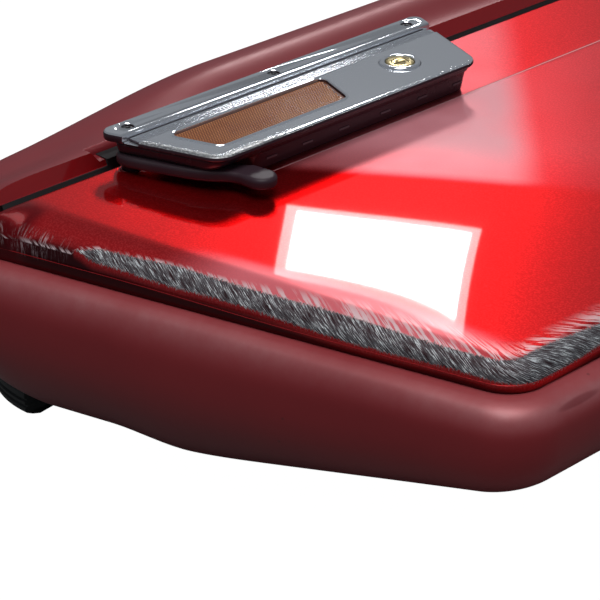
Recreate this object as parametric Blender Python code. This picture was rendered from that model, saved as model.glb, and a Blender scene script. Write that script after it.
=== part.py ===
"""Hard motorcycle saddlebag, left-hand side, lying on its inner face.

Frame: metres, +Z away from the motorcycle (outboard), +Y towards the rear of
the bag, +X towards its lower edge.  The origin is the middle of the resting
face.  Sizes below are given in millimetres and converted once, in `place`.
"""
import math

import bmesh
import bpy
from mathutils import Matrix, Vector

MM = 0.001

# --------------------------------------------------------------- dimensions
# Plan datum (mm): X = 0 near the lower edge of the lid seam, Y = 0 where the
# front edge of the seam meets that line, Z = 0 on the seam between lid and case.
SEAM_HEIGHT = 150.0            # seam above the resting face
PLAN_SHIFT = (184.54, -191.48)   # moves the datum so the part is centred

FRONT_SLOPE = 0.275            # front end leans forward towards the bag's top
REAR_SLOPE = -0.065
FRONT_Y = -1.3                 # front seam line at X = 0
REAR_Y = 447.0
RIGHT_X = 2.0                  # seam line along the lower edge
LEFT_X = -377.0                # top side of the case

RIM_DEPTH = 91.0               # red shell below the seam, at its deepest
RELIEF_START, RELIEF_END = 10.0, -185.0   # the rim rises here, over the exhaust
RELIEF_FACTOR = 0.614
TOP_RISE_START, TOP_RISE_END = -272.0, -352.0   # and rises again at the top side
TOP_FACTOR = 0.72
FLOOR_Z = -138.0               # flat back of the inner tub
WALL = 3.0
GAP = 0.35                     # clearance between touching pieces
FLANGE = 16.0                  # width of the flange around the mouth

# case wall: outward offset from the seam line, height above the seam
WALL_PROFILE = ((1.5, 0.0), (6.0, -1.4), (11.0, -5.0), (15.0, -11.5),
                (17.6, -21.0), (18.5, -34.0), (18.3, -48.0), (16.6, -61.0),
                (12.6, -73.0), (7.0, -81.5), (0.0, -87.6), (-7.0, -RIM_DEPTH))
WALL_INSIDE = ((-9.4, -88.4), (-2.0, -84.6), (4.6, -79.0), (9.8, -71.2),
               (13.6, -60.0), (15.3, -48.0), (15.5, -34.0), (14.6, -22.0),
               (12.0, -13.5), (7.0, -6.5), (0.0, -WALL))

# lid
LID_LEFT_X = -311.0            # parting line beside the fixed top panel
LID_EDGE_Z = 14.5              # height of the lid edge at X = 0
LID_RISE = 0.040               # rise per millimetre towards the top of the bag
LID_CROWN = 4.0
CREASE_X = -246.0              # inner border of the flat pad under the latch
LID_ROLL = (12.0, 29.0)        # radius of the rolled edge: lower side, top side
LEFT_ROLL = 3.0                # tighter radius along the parting line
SKIRT_BOTTOM = 0.8

# fixed top panel (hood)
HOOD_EDGE_X = -317.0
HOOD_TOP = 34.6                # at the lip; the middle of the panel is crowned
HOOD_FALL, HOOD_CROWN = -8.0, 14.0   # the panel drops at its front, rises behind
LIP_BOTTOM = 25.4
NOTCH_Z = 28.6

# latch unit
LATCH_SLOPE = 0.35             # both ends run together towards the lid's middle
LATCH_ENDS_X = -310.0          # where the ends are measured
LATCH_LENGTH = 262.0
LATCH_LEFT, LATCH_RIGHT = -317.6, -241.0
PLATE_RIGHT = -301.4
CHANNEL_RIGHT = -291.0
BEZEL_BOTTOM, BEZEL_TOP = 43.8, 47.0
PLATE_TOP = 49.5
LENS_LEFT, LENS_RIGHT = -287.5, -255.0
LENS_START, LENS_END = 18.0, 158.0
LOCK_AT = (-271.0, 200.0)
LEVER_PIVOT = (-303.0, 11.0)
LEVER_Z = (29.8, 36.8)
SCREW_X = -309.8
SCREW_Y = (15.3, 131.0, 246.5)
SHAFT_AT = (-296.5, 13.0)      # X and Z of the hook shaft
HOOK_Y = (70.0, 214.0)
HOOK_RELEASE = 14.0            # degrees from caught to just clear, the rest pose

# hinges along the lower edge
HINGE_AXIS = (3.5, 0.5)        # X and Z
HINGE_Y = (120.0, 336.0)
HINGE_LENGTH = 50.0
KNUCKLE_R = 3.4

# back mounts
BOSS_R, BOLT_R = 18.0, 8.5
PLATE_Z = (FLOOR_Z + WALL + GAP, FLOOR_Z + WALL + 2.2)
DRAIN_AT = (-232.0, 246.0)
MOUNTS = ((-330.0, 40.0), (-335.0, 390.0), (-175.0, 112.0), (-175.0, 370.0))

SIDE_STEPS = (9, 8, 6, 8)      # front, lower, rear and top side segments
ARC_STEPS = 8
SHARP_ANGLE = 32.0             # degrees, for shading and for bevels


# ------------------------------------------------------------------ helpers
def place(x, y, z):
    """Datum millimetres to world metres."""
    return Vector(((x + PLAN_SHIFT[0]) * MM, (y + PLAN_SHIFT[1]) * MM,
                   (z + SEAM_HEIGHT) * MM))


def material(name, colour, roughness, metallic=0.0):
    made = bpy.data.materials.new(name)
    made.use_nodes = True
    shader = made.node_tree.nodes["Principled BSDF"]
    shader.inputs["Base Color"].default_value = (*colour, 1.0)
    shader.inputs["Roughness"].default_value = roughness
    shader.inputs["Metallic"].default_value = metallic
    made.diffuse_color = (*colour, 1.0)
    return made


def finish_mesh(name, bm, mat):
    bmesh.ops.remove_doubles(bm, verts=bm.verts, dist=1e-7)
    bmesh.ops.recalc_face_normals(bm, faces=bm.faces)
    mesh = bpy.data.meshes.new(name)
    bm.to_mesh(mesh)
    bm.free()
    mesh.shade_smooth()
    mesh.set_sharp_from_angle(angle=math.radians(SHARP_ANGLE))
    if mat:
        mesh.materials.append(mat)
    made = bpy.data.objects.new(name, mesh)
    bpy.context.collection.objects.link(made)
    return made


def hide(cutter):
    cutter.hide_render = True
    cutter.display_type = "WIRE"
    cutter.hide_set(True)
    return cutter


def boolean(target, cutter, operation="DIFFERENCE"):
    mod = target.modifiers.new(operation.title(), "BOOLEAN")
    mod.operation = operation
    mod.solver = "EXACT"
    mod.object = hide(cutter)


def bevel(target, width, segments=2):
    mod = target.modifiers.new("Bevel", "BEVEL")
    mod.width = width * MM
    mod.segments = segments
    mod.limit_method = "ANGLE"
    mod.angle_limit = math.radians(SHARP_ANGLE)


# ------------------------------------------------------------ plan outlines
def corner_points(lines):
    """Sharp corners B, C, D, A of the four sides.

    lines = (front y at X=0, front slope, right x, rear y, rear slope, left x)
    """
    front_y, front_slope, right, rear_y, rear_slope, left = lines
    return [Vector((right, front_y + front_slope * right)),
            Vector((right, rear_y + rear_slope * right)),
            Vector((left, rear_y + rear_slope * left)),
            Vector((left, front_y + front_slope * left))]


def outline(lines, radii, arc_steps=ARC_STEPS, side_steps=SIDE_STEPS):
    """Counter-clockwise rounded quadrilateral, always with the same count."""
    corners = corner_points(lines)
    arcs = []
    for i, corner in enumerate(corners):
        before = (corners[i - 1] - corner).normalized()
        after = (corners[(i + 1) % 4] - corner).normalized()
        half = before.angle(after) / 2
        reach = radii[i] / math.tan(half)
        centre = corner + (before + after).normalized() * (radii[i] / math.sin(half))
        start = corner + before * reach - centre
        turn = math.pi - 2 * half
        arcs.append([centre + Matrix.Rotation(turn * k / arc_steps, 2) @ start
                     for k in range(arc_steps + 1)])
    points = []
    for i in range(4):
        # corner i ends on side i+1: right side follows corner B, and so on
        points += arcs[i]
        first, last = arcs[i][-1], arcs[(i + 1) % 4][0]
        steps = side_steps[(i + 1) % 4]
        points += [first.lerp(last, k / steps) for k in range(1, steps)]
    return points


def offset_lines(lines, front, right=None, rear=None, left=None):
    """Move each side outwards by its own distance."""
    right = front if right is None else right
    rear = front if rear is None else rear
    left = front if left is None else left
    return (lines[0] - front * math.hypot(1, lines[1]), lines[1], lines[2] + right,
            lines[3] + rear * math.hypot(1, lines[4]), lines[4], lines[5] - left)


SEAM_LINES = (FRONT_Y, FRONT_SLOPE, RIGHT_X, REAR_Y, REAR_SLOPE, LEFT_X)
LID_LINES = (FRONT_Y, FRONT_SLOPE, RIGHT_X, REAR_Y, REAR_SLOPE, LID_LEFT_X)


def depth_factor(x):
    """Depth of the case wall along the bag: shallower above the exhaust."""
    low = min(max((RELIEF_START - x) / (RELIEF_START - RELIEF_END), 0.0), 1.0)
    top = min(max((TOP_RISE_START - x) / (TOP_RISE_START - TOP_RISE_END), 0.0), 1.0)
    top *= top * (3 - 2 * top)
    return RELIEF_FACTOR + (1 - RELIEF_FACTOR) * low - (1 - TOP_FACTOR) * top


def ring(points, height):
    """Outline points with a height, which may be a function of x and y."""
    if callable(height):
        return [place(p.x, p.y, height(p.x, p.y)) for p in points]
    return [place(p.x, p.y, height) for p in points]


def loft(name, rings, mat, capped=True):
    """Skin rings of equal count.  Without caps the last ring joins the first."""
    bm = bmesh.new()
    rows = [[bm.verts.new(p) for p in points] for points in rings]
    pairs = list(zip(rows, rows[1:]))
    if not capped:
        pairs.append((rows[-1], rows[0]))
    count = len(rows[0])
    for low, high in pairs:
        for i in range(count):
            j = (i + 1) % count
            bm.faces.new((low[i], low[j], high[j], high[i]))
    if capped:
        bm.faces.new(rows[0][::-1])
        bm.faces.new(rows[-1])
    return finish_mesh(name, bm, mat)


def prism(name, points, low, high, mat=None, smooth=False):
    """Upright extrusion of a closed plan outline (mm)."""
    corners = [Vector(p) for p in points]
    made = loft(name, [ring(corners, low), ring(corners, high)], mat)
    if not smooth:
        made.data.shade_flat()
    return made


def box(name, low, high, mat=None):
    (x0, y0, z0), (x1, y1, z1) = low, high
    return prism(name, ((x0, y0), (x1, y0), (x1, y1), (x0, y1)), z0, z1, mat)


def circle(centre, radius, steps=24, start=0.0):
    return [Vector((centre[0] + radius * math.cos(start + math.tau * k / steps),
                    centre[1] + radius * math.sin(start + math.tau * k / steps)))
            for k in range(steps)]


def turned(name, centre, profile, mat, steps=24, capped=True):
    """Upright turned piece from (radius, z) pairs; without caps it is a ring."""
    rings = [ring(circle(centre, r, steps), z) for r, z in profile]
    return loft(name, rings, mat, capped)


def rod_y(name, x, z, y0, y1, radius, mat=None, steps=16):
    """Round bar along Y."""
    ends = [[place(x + radius * math.cos(math.tau * k / steps), y,
                   z + radius * math.sin(math.tau * k / steps))
             for k in range(steps)] for y in (y0, y1)]
    return loft(name, ends, mat)


def slice_y(name, profile, y0, y1, mat=None):
    """Extrusion along Y of a closed (x, z) profile."""
    made = loft(name, [[place(x, y, z) for x, z in profile] for y in (y0, y1)], mat)
    made.data.shade_flat()
    return made


# ---------------------------------------------------------------- materials
def make_materials():
    return {
        "red": material("body_red", (0.16, 0.012, 0.016), 0.42),
        "candy": material("lid_red", (0.55, 0.01, 0.018), 0.12),
        "black": material("tub_black", (0.022, 0.024, 0.024), 0.55),
        "satin": material("satin_black", (0.012, 0.011, 0.012), 0.28),
        "chrome": material("chrome", (0.78, 0.80, 0.84), 0.08, 1.0),
        "amber": material("amber_lens", (0.42, 0.12, 0.03), 0.2),
        "rubber": material("seal_rubber", (0.015, 0.015, 0.015), 0.7),
        "steel": material("plated_steel", (0.55, 0.56, 0.57), 0.35, 1.0),
        "liner": material("liner_black", (0.03, 0.03, 0.032), 0.6),
        "brass": material("lock_brass", (0.65, 0.5, 0.22), 0.3, 1.0),
    }


# --------------------------------------------------------------------- case
def wall_radii(offset):
    """Corner radii of the case wall, in the order B, C, D, A."""
    return (25 + offset * 0.6, 45 + offset * 0.6, 62 + offset * 0.5, 64 + offset * 0.8)


def wall_ring(offset, z):
    lines = offset_lines(SEAM_LINES, offset, left=offset * 0.68)
    return ring(outline(lines, wall_radii(offset)), lambda x, y: z * depth_factor(x))


def mouth_outline(inset):
    lines = offset_lines(LID_LINES, -inset)
    lines = (*lines[:5], LID_LEFT_X + 2.5)
    return outline(lines, (max(25 - inset, 6), max(45 - inset, 6), 10, 10))


def hood_ring(front, left, z):
    """Hood outline; away from the lip its height follows the panel's crown."""
    def rule(x, y):
        away = min(max((HOOD_EDGE_X - 4 - x) / 30.0, 0.0), 1.0)
        along = min(max((y + 60.0) / 190.0, 0.0), 1.0)
        rise = HOOD_FALL + HOOD_CROWN * along * along * (3 - 2 * along)
        return z + away * rise * max(z, 0.0) / HOOD_TOP
    lines = offset_lines(SEAM_LINES, front, left=left)
    return ring(outline(lines, wall_radii(front)), rule)


def make_hood():
    """Fixed top panel: a hood beside the lid, open underneath."""
    outside = ((16.5, 11.3, -22.0), (16.2, 11.6, -10.0), (14.5, 11.2, 0.0),
               (11.0, 9.8, 9.0), (5.0, 6.8, 17.5), (-2.5, 1.8, 24.5), (-11.0, -4.5, 29.8),
               (-20.0, -13.0, 32.4), (-30.0, -24.0, 34.0), (-42.0, -36.0, HOOD_TOP))
    inside = ((13.0, 8.2, -24.0), (12.8, 8.4, -10.0), (11.2, 8.0, 0.0), (7.6, 6.4, 8.0),
              (1.6, 3.4, 15.5), (-8.0, -6.0, 22.5), (-18, -20, 26.5))
    rings = [hood_ring(*row) for row in outside]
    flat_x = HOOD_EDGE_X - 4
    crown = outline(offset_lines(SEAM_LINES, -44.0, left=-38.0), wall_radii(-44.0))
    rings.append(ring([Vector((max(p.x, flat_x), p.y)) for p in crown], HOOD_TOP + 0.05))
    hood = loft("hood_block", rings, None)
    hollow = loft("hood_hollow",
                  [ring(outline(offset_lines(SEAM_LINES, front, left=left),
                                wall_radii(front)), z) for front, left, z in inside], None)
    boolean(hollow, box("hollow_limit", (HOOD_EDGE_X - 14.5, -200, -40), (60, 600, 60)))
    boolean(hollow, box("hollow_front_limit", (-420, -200, 1), (60, -35, 60)))
    boolean(hood, hollow)
    boolean(hood, box("lid_side", (HOOD_EDGE_X, -200, -40), (60, 600, 60)))
    boolean(hood, box("hood_underside", (-364, -70, -40), (60, 430, -1.5)))
    undercut = ((HOOD_EDGE_X - 2, -40), (HOOD_EDGE_X + 1, -40), (HOOD_EDGE_X + 1, LIP_BOTTOM),
                (HOOD_EDGE_X - 2, LIP_BOTTOM - 1))
    boolean(hood, slice_y("lip_undercut", undercut, -200, 600))
    chamfer = ((HOOD_EDGE_X + 1, LIP_BOTTOM + 1.5), (HOOD_EDGE_X + 1, HOOD_TOP + 4),
               (HOOD_EDGE_X - 5, HOOD_TOP + 4), (HOOD_EDGE_X - 3.8, HOOD_TOP - 0.2),
               (HOOD_EDGE_X - 0.3, LIP_BOTTOM + 1.8))
    boolean(hood, slice_y("lip_chamfer", chamfer, -200, 600))
    return hood


def make_outer_case(mats):
    rings = [ring(mouth_outline(FLANGE), 0.0)]
    rings += [wall_ring(o, z) for o, z in WALL_PROFILE]
    rings += [wall_ring(o, z) for o, z in WALL_INSIDE]
    rings += [ring(mouth_outline(FLANGE), -WALL)]
    case = loft("outer_case_shell", rings, mats["red"], capped=False)
    boolean(case, make_hood(), "UNION")
    boolean(case, box("hood_window", (-366, -30, -6), (-334, 425, 2)))
    notch = [(HOOD_EDGE_X - 11, HOOD_TOP + 4), (HOOD_EDGE_X - 10, NOTCH_Z + 0.4),
             (HOOD_EDGE_X + 4, NOTCH_Z), (HOOD_EDGE_X + 4, HOOD_TOP + 4)]
    wedge = loft("lip_notch", [
        [place(x, y + (0 if z < HOOD_TOP else -7 * side), z) for x, z in notch]
        for y, side in ((-3.0, 1), (LATCH_LENGTH + 4.0, -1))], None)
    boolean(case, wedge)
    for i, y in enumerate(HINGE_Y):
        boolean(case, rod_y(f"case_hinge_recess_{i + 1}", *HINGE_AXIS, y - 1,
                            y + HINGE_LENGTH + 1, KNUCKLE_R + 0.6))
    return case


def tub_ring(t, thick, z=None):
    """Ring of the inner tub: t = 0 under the rim, t = 1 on the flat back."""
    top = offset_lines(SEAM_LINES, -9.0 - thick, left=0.68 * (-9.4 - thick))
    floor = (164.0 + thick, 0.51, -130.0 - thick, 395.0 - thick, -0.05,
             -368.0 + thick)
    lines = tuple(a + (b - a) * t for a, b in zip(top, floor))
    top_radii = tuple(r + 1.0 for r in wall_radii(-9.0 - thick))
    floor_radii = (60, 55, 40, 42)
    radii = tuple(a + (b - a) * t for a, b in zip(top_radii, floor_radii))
    return outline(lines, radii)


def tub_height(t, lift):
    def rule(x, y):
        rim = -(RIM_DEPTH + 0.6) * depth_factor(x)
        return rim + (FLOOR_Z - rim) * t + lift
    return rule


# share of the way from rim to flat back: in plan, and in depth
TUB_STATIONS = ((0.0, 0.0), (0.3, 0.2), (0.62, 0.47), (0.86, 0.78), (0.955, 0.94),
                (1.0, 1.0))


def make_tub(mats):
    inside = [ring(tub_ring(plan, WALL), tub_height(deep, WALL))
              for plan, deep in reversed(TUB_STATIONS)]
    outside = [ring(tub_ring(plan, 0.0), tub_height(deep, 0.0))
               for plan, deep in TUB_STATIONS]
    lip_in = ring(tub_ring(0.0, 4.2), tub_height(0.0, 12.0))
    lip_out = ring(tub_ring(0.0, 1.2), tub_height(0.0, 12.0))
    neck = ring(tub_ring(0.0, 1.2), tub_height(0.0, 2.0))
    return loft("inner_case_tub", inside + [lip_in, lip_out, neck] + outside, mats["black"])


def make_corner_bumpers(mats):
    """Black guards that wrap the two top corners just below the red rim."""
    section = ((-11.5, -101.5), (-8.8, -99.0), (-8.6, -88.5), (-11.0, -86.0))
    inner = outline(offset_lines(SEAM_LINES, -40.0, left=-32.0), (12, 20, 30, 40))
    corner_d = 2 * (ARC_STEPS + 1) + SIDE_STEPS[1] + SIDE_STEPS[2] - 2
    corner_a = corner_d + ARC_STEPS + 1 + SIDE_STEPS[3] - 1
    for name, first in (("front", corner_a - 1), ("rear", corner_d + 1)):
        span = [(first + k) % len(inner) for k in range(ARC_STEPS + 1)]
        loops = []
        for offset, z in section:
            lines = offset_lines(SEAM_LINES, offset, left=offset + 8.6)
            outer = outline(lines, (20, 40, 60, 68))
            loops.append(ring([outer[i] for i in span] + [inner[i] for i in reversed(span)],
                              z))
        bumper = loft(f"corner_bumper_{name}", loops, mats["rubber"])
        rings = [ring(tub_ring(plan, -GAP), tub_height(deep, -GAP))
                 for plan, deep in TUB_STATIONS]
        rings.insert(0, ring(tub_ring(0.0, -GAP), -50.0))
        boolean(bumper, loft(f"tub_clearance_{name}", rings, None))


# ---------------------------------------------------------------------- lid
def lid_surface(x, y):
    """Top of the lid before its rolled edge."""
    z = LID_EDGE_Z - LID_RISE * x
    if x > CREASE_X:
        across = (x - CREASE_X) / (RIGHT_X - CREASE_X)
        along = (y + 70) / (REAR_Y + 70)
        bulge = math.sin(math.pi * min(max(across, 0), 1)) * math.sin(
            math.pi * min(max(along, 0), 1))
        z += LID_CROWN * bulge
    return z


def lid_roll(x):
    """Radius of the rolled edge, wider towards the top of the bag."""
    low, high = LID_ROLL
    return low + (high - low) * min(max(-x / -LID_LEFT_X, 0.0), 1.0)


def roll_depth(x):
    """Height of the rolled edge; tight again on the parting line itself."""
    full = min(0.8 * lid_roll(x), LID_EDGE_Z - LID_RISE * x - 4.0)
    share = min(max((x - LID_LEFT_X - 4.0) / 9.0, 0.0), 1.0)
    return LEFT_ROLL + (full - LEFT_ROLL) * share


def lid_outline(inset, share=0.0):
    """Lid plan, moved in by `inset` and by `share` of the rolled edge."""
    low, high = (r * share for r in LID_ROLL)
    hypot_front, hypot_rear = math.hypot(1, FRONT_SLOPE), math.hypot(1, REAR_SLOPE)
    widen = (high - low) / -LID_LEFT_X
    lines = (FRONT_Y + (inset + low) * hypot_front, FRONT_SLOPE - widen * hypot_front,
             RIGHT_X - inset - low,
             REAR_Y - (inset + low) * hypot_rear, REAR_SLOPE + widen * hypot_rear,
             LID_LEFT_X + inset + LEFT_ROLL * share)
    radii = [max(r - inset - low, 2.0) for r in (24.0, 44.0, 8.0, 8.0)]
    return outline(lines, radii)


def lid_rings(thick):
    """Rings of the lid from its skirt to the middle of its top."""
    rings = [ring(lid_outline(0.5 + thick), SKIRT_BOTTOM - (6 if thick else 0))]
    for share in (0.0, 0.07, 0.2, 0.4, 0.67, 1.0):
        fall = 1 - math.sqrt(max(0.0, 1 - (1 - share) ** 2))
        rings.append(ring(lid_outline(0.5 + thick, share), lambda x, y, f=fall:
                          lid_surface(x, y) - roll_depth(x) * f - thick))
    middle = Vector(((LID_LEFT_X + RIGHT_X) / 2, (FRONT_Y + REAR_Y) / 2 - 20))
    last = lid_outline(0.5 + thick, 1.0)
    for share in (0.8, 0.55, 0.3, 0.1):
        points = [middle.lerp(p, share) for p in last]
        rings.append(ring(points, lambda x, y: lid_surface(x, y) - thick))
    return rings


def make_lid(mats):
    lid = loft("lid_shell", lid_rings(0.0), mats["candy"])
    boolean(lid, loft("lid_hollow", lid_rings(WALL), None))
    for i, y in enumerate(HINGE_Y):
        boolean(lid, box(f"lid_hinge_notch_{i + 1}", (-7, y - 1, -2),
                         (RIGHT_X + 3, y + HINGE_LENGTH + 1, 5.2)))
    boolean(lid, turned("lid_lever_hole", LEVER_PIVOT, ((5.6, 8), (5.6, 34)), None))
    boolean(lid, box("lid_skirt_cut", (LID_LEFT_X - 2, -200, -8), (LID_LEFT_X + 7.0, 600, 4.2)))
    boolean(lid, turned("lid_lock_hole", LOCK_AT, ((9.6, 10), (9.6, 34)), None))
    return lid


def make_lid_liner(mats):
    """Black inner panel with a rib that presses on the mouth seal."""
    def liner_outline(inset):
        lines = offset_lines(LID_LINES, -9.8 - inset)
        lines = (*lines[:5], -284.0 + inset)
        return outline(lines, (max(15 - inset, 3), max(34 - inset, 3), 8, 8))

    rings = [ring(liner_outline(4.6), 6.0), ring(liner_outline(4.6), 4.2),
             ring(liner_outline(0.0), 4.2), ring(liner_outline(0.0), 8.6)]
    return loft("lid_liner", rings, mats["liner"])


def make_seal(mats):
    """Rubber seal around the mouth; beside the hood it fills the open gap."""
    def seal_outline(inset, left):
        lines = (*offset_lines(LID_LINES, -inset)[:5], left)
        return outline(lines, (max(26 - inset, 4), max(46 - inset, 4), 7, 7))

    outer, inner = seal_outline(9.6, -316.0), seal_outline(14.4, -311.9)
    return loft("mouth_seal", [ring(outer, GAP), ring(outer, 3.8), ring(inner, 3.8),
                               ring(inner, GAP)], mats["rubber"], capped=False)


# -------------------------------------------------------------------- hinge
def make_hinges(mats):
    x, z = HINGE_AXIS
    for i, y in enumerate(HINGE_Y):
        tag = ("front", "rear")[i]
        third = HINGE_LENGTH / 3
        fixed = rod_y(f"hinge_fixed_{tag}", x, z, y + third + 0.3, y + 2 * third - 0.3,
                      KNUCKLE_R, mats["steel"])
        boolean(fixed, box(f"fixed_leaf_{tag}", (-6.5, y + 1, GAP),
                           (-0.7, y + HINGE_LENGTH - 1, 2.1)), "UNION")
        boolean(fixed, box(f"fixed_tongue_{tag}", (-2.0, y + third + 1, GAP),
                           (x - 1.0, y + 2 * third - 1, 2.1)), "UNION")
        moving = rod_y(f"hinge_moving_{tag}", x, z, y, y + third - 0.3, KNUCKLE_R,
                       mats["steel"])
        other = rod_y(f"moving_knuckle_{tag}", x, z, y + 2 * third + 0.3, y + HINGE_LENGTH,
                      KNUCKLE_R)
        boolean(moving, other, "UNION")
        leaf = slice_y(f"moving_leaf_{tag}", ((x, 2.5), (x, 4.3), (-3.8, 4.3), (-3.8, 7.2),
                                              (-5.4, 7.2), (-5.4, 2.5)),
                       y, y + HINGE_LENGTH)
        boolean(moving, leaf, "UNION")
        boolean(moving, rod_y(f"moving_gap_{tag}", x, z, y + third - 0.3,
                              y + 2 * third + 0.3, KNUCKLE_R + 0.5))
        pin_hole = rod_y(f"pin_hole_{tag}", x, z, y - 2, y + HINGE_LENGTH + 2, 1.5, steps=12)
        for leaf_part in (fixed, moving):
            boolean(leaf_part, pin_hole)
        rod_y(f"hinge_pin_{tag}", x, z, y - 0.6, y + HINGE_LENGTH + 0.6, 1.15,
              mats["steel"], steps=12)


# -------------------------------------------------------------------- latch
def latch_outline(left, right, start, end, radii):
    """Plan of a latch piece; start and end are its ends at X = LATCH_ENDS_X."""
    reach = LATCH_SLOPE * LATCH_ENDS_X
    lines = (start - reach, LATCH_SLOPE, right, end + reach, -LATCH_SLOPE, left)
    return outline(lines, radii, arc_steps=4, side_steps=(1, 1, 1, 1))


def make_latch_base(mats):
    plan = latch_outline(-308.5, -251.0, 4.5, LATCH_LENGTH - 4.5, (9, 9, 4, 4))
    top = latch_outline(-309.5, -247.0, 3.0, LATCH_LENGTH - 3.0, (11, 11, 4, 4))
    base = loft("latch_base", [ring(plan, lambda x, y: lid_surface(x, y) + GAP),
                               ring(top, BEZEL_BOTTOM - GAP)], mats["satin"])
    front = [(-330, -40), (-230, -40), (-230, 36 + LATCH_SLOPE * 80),
             (-330, 36 + LATCH_SLOPE * -20)]
    boolean(base, prism("lever_slot", front, 20, LEVER_Z[1] + 0.5))
    boolean(base, turned("base_lock_hole", LOCK_AT, ((9.8, 10), (9.8, 50)), None))
    boolean(base, turned("base_pin_hole", LEVER_PIVOT, ((2.4, 30), (2.4, 41.0)), None, 16))
    return base


def make_bezel(mats):
    plan = latch_outline(PLATE_RIGHT + 0.4, LATCH_RIGHT, 0.0, LATCH_LENGTH, (14, 14, 1.5, 1.5))
    bezel = loft("latch_bezel", [ring(plan, BEZEL_BOTTOM), ring(plan, BEZEL_TOP)],
                 mats["chrome"])
    bevel(bezel, 1.3)
    channel = [(PLATE_RIGHT - 3, -30), (CHANNEL_RIGHT, -30), (CHANNEL_RIGHT, 300),
               (PLATE_RIGHT - 3, 300)]
    boolean(bezel, prism("rib_channel", channel, 44.8, 60))
    window = latch_outline(LENS_LEFT, LENS_RIGHT, LENS_START, LENS_END, (5, 5, 2.5, 2.5))
    boolean(bezel, prism("lens_window", window, 38, 60))
    boolean(bezel, turned("bezel_lock_hole", LOCK_AT, ((13.0, 38), (13.0, 60)), None))

    plate_plan = latch_outline(LATCH_LEFT, PLATE_RIGHT, 0.0, LATCH_LENGTH, (1.5, 1.5, 6, 6))
    plate = loft("latch_top_plate", [ring(plate_plan, BEZEL_BOTTOM),
                                     ring(plate_plan, PLATE_TOP)], mats["chrome"])
    bevel(plate, 1.4)
    for i, y in enumerate(SCREW_Y):
        boolean(plate, turned(f"screw_recess_{i + 1}", (SCREW_X, y),
                              ((2.1, 40), (2.1, 46.2), (4.1, 46.2), (4.1, 52)), None))
        head = turned(f"plate_screw_{i + 1}", (SCREW_X, y),
                      ((1.7, 44.2), (1.7, 46.5), (3.6, 46.5), (3.6, 47.6), (2.8, 48.3)),
                      mats["steel"])
        boolean(head, prism(f"screw_socket_{i + 1}", circle((SCREW_X, y), 1.6, 6), 47.0, 50))

    ribs = []
    count = 4
    left, right = PLATE_RIGHT + 0.8, CHANNEL_RIGHT - 0.4
    pitch = (right - left) / count
    ribs.append((left, 45.1))
    for k in range(count):
        start = left + k * pitch
        ribs += [(start, 45.6), (start + 0.25 * pitch, 46.7), (start + 0.6 * pitch, 46.7),
                 (start + 0.85 * pitch, 45.6)]
    ribs += [(right, 45.6), (right, 45.1)]
    slice_y("ribbed_insert", ribs, 8.0, LATCH_LENGTH - 8.0, mats["satin"])

    lens = loft("amber_reflector", [
        ring(latch_outline(LENS_LEFT + 0.4, LENS_RIGHT - 0.4, LENS_START + 0.5,
                           LENS_END - 0.5, (4.6, 4.6, 2.1, 2.1)), z)
        for z in (BEZEL_BOTTOM + 0.1, 46.2)], mats["amber"])
    bevel(lens, 0.5, 1)


def make_lock(mats):
    turned("lock_escutcheon", LOCK_AT,
           ((12.6, BEZEL_BOTTOM + 0.1), (12.6, 47.6), (11.6, 48.6), (9.9, 48.6),
            (9.2, 47.8), (9.2, BEZEL_BOTTOM + 0.1)), mats["chrome"],
           capped=False)
    plug = turned("lock_cylinder", LOCK_AT,
                  ((7.5, 16.0), (7.5, 40), (8.7, 40.0), (8.7, 47.4), (8.2, 47.9)),
                  mats["brass"])
    boolean(plug, box("key_slot", (LOCK_AT[0] - 1.0, LOCK_AT[1] - 4.2, 40),
                      (LOCK_AT[0] + 1.0, LOCK_AT[1] + 4.2, 50)))


def lever_outline():
    """Plan of the lever, from its hub to the rounded finger tab."""
    hub = Vector(LEVER_PIVOT)
    points = [(-297.0, 3.6), (-280.0, 9.8), (-262.0, 17.2), (-250.0, 24.2),
              (-243.0, 30.4), (-234.0, 34.4)]
    tab_centre, tab_r = Vector((-228.0, 42.6)), 9.0
    tab = [tab_centre + tab_r * Vector((math.cos(a), math.sin(a)))
           for a in (math.radians(-80 + 20 * k) for k in range(10))]
    back = [(-240.5, 49.5), (-249.0, 42.0), (-262.0, 32.5), (-278.0, 26.0), (-292.0, 21.5)]
    turn = [hub + 8.2 * Vector((math.cos(a), math.sin(a)))
            for a in (math.radians(70 + 28 * k) for k in range(8))]
    return [Vector(p) for p in points] + tab + [Vector(p) for p in back] + turn


def make_lever(mats):
    lever = prism("latch_lever", lever_outline(), *LEVER_Z, mats["satin"], smooth=True)
    bevel(lever, 1.6, 2)
    hub = turned("lever_hub", LEVER_PIVOT, ((5.0, 17.5), (5.0, 31.5)), None, 20)
    boolean(lever, hub, "UNION")
    boolean(lever, turned("lever_pin_bore", LEVER_PIVOT, ((2.4, 12), (2.4, 40)), None, 16))
    turned("lever_pin", LEVER_PIVOT, ((2.0, 18.5), (2.0, 40.5)), mats["steel"], 16)


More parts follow.
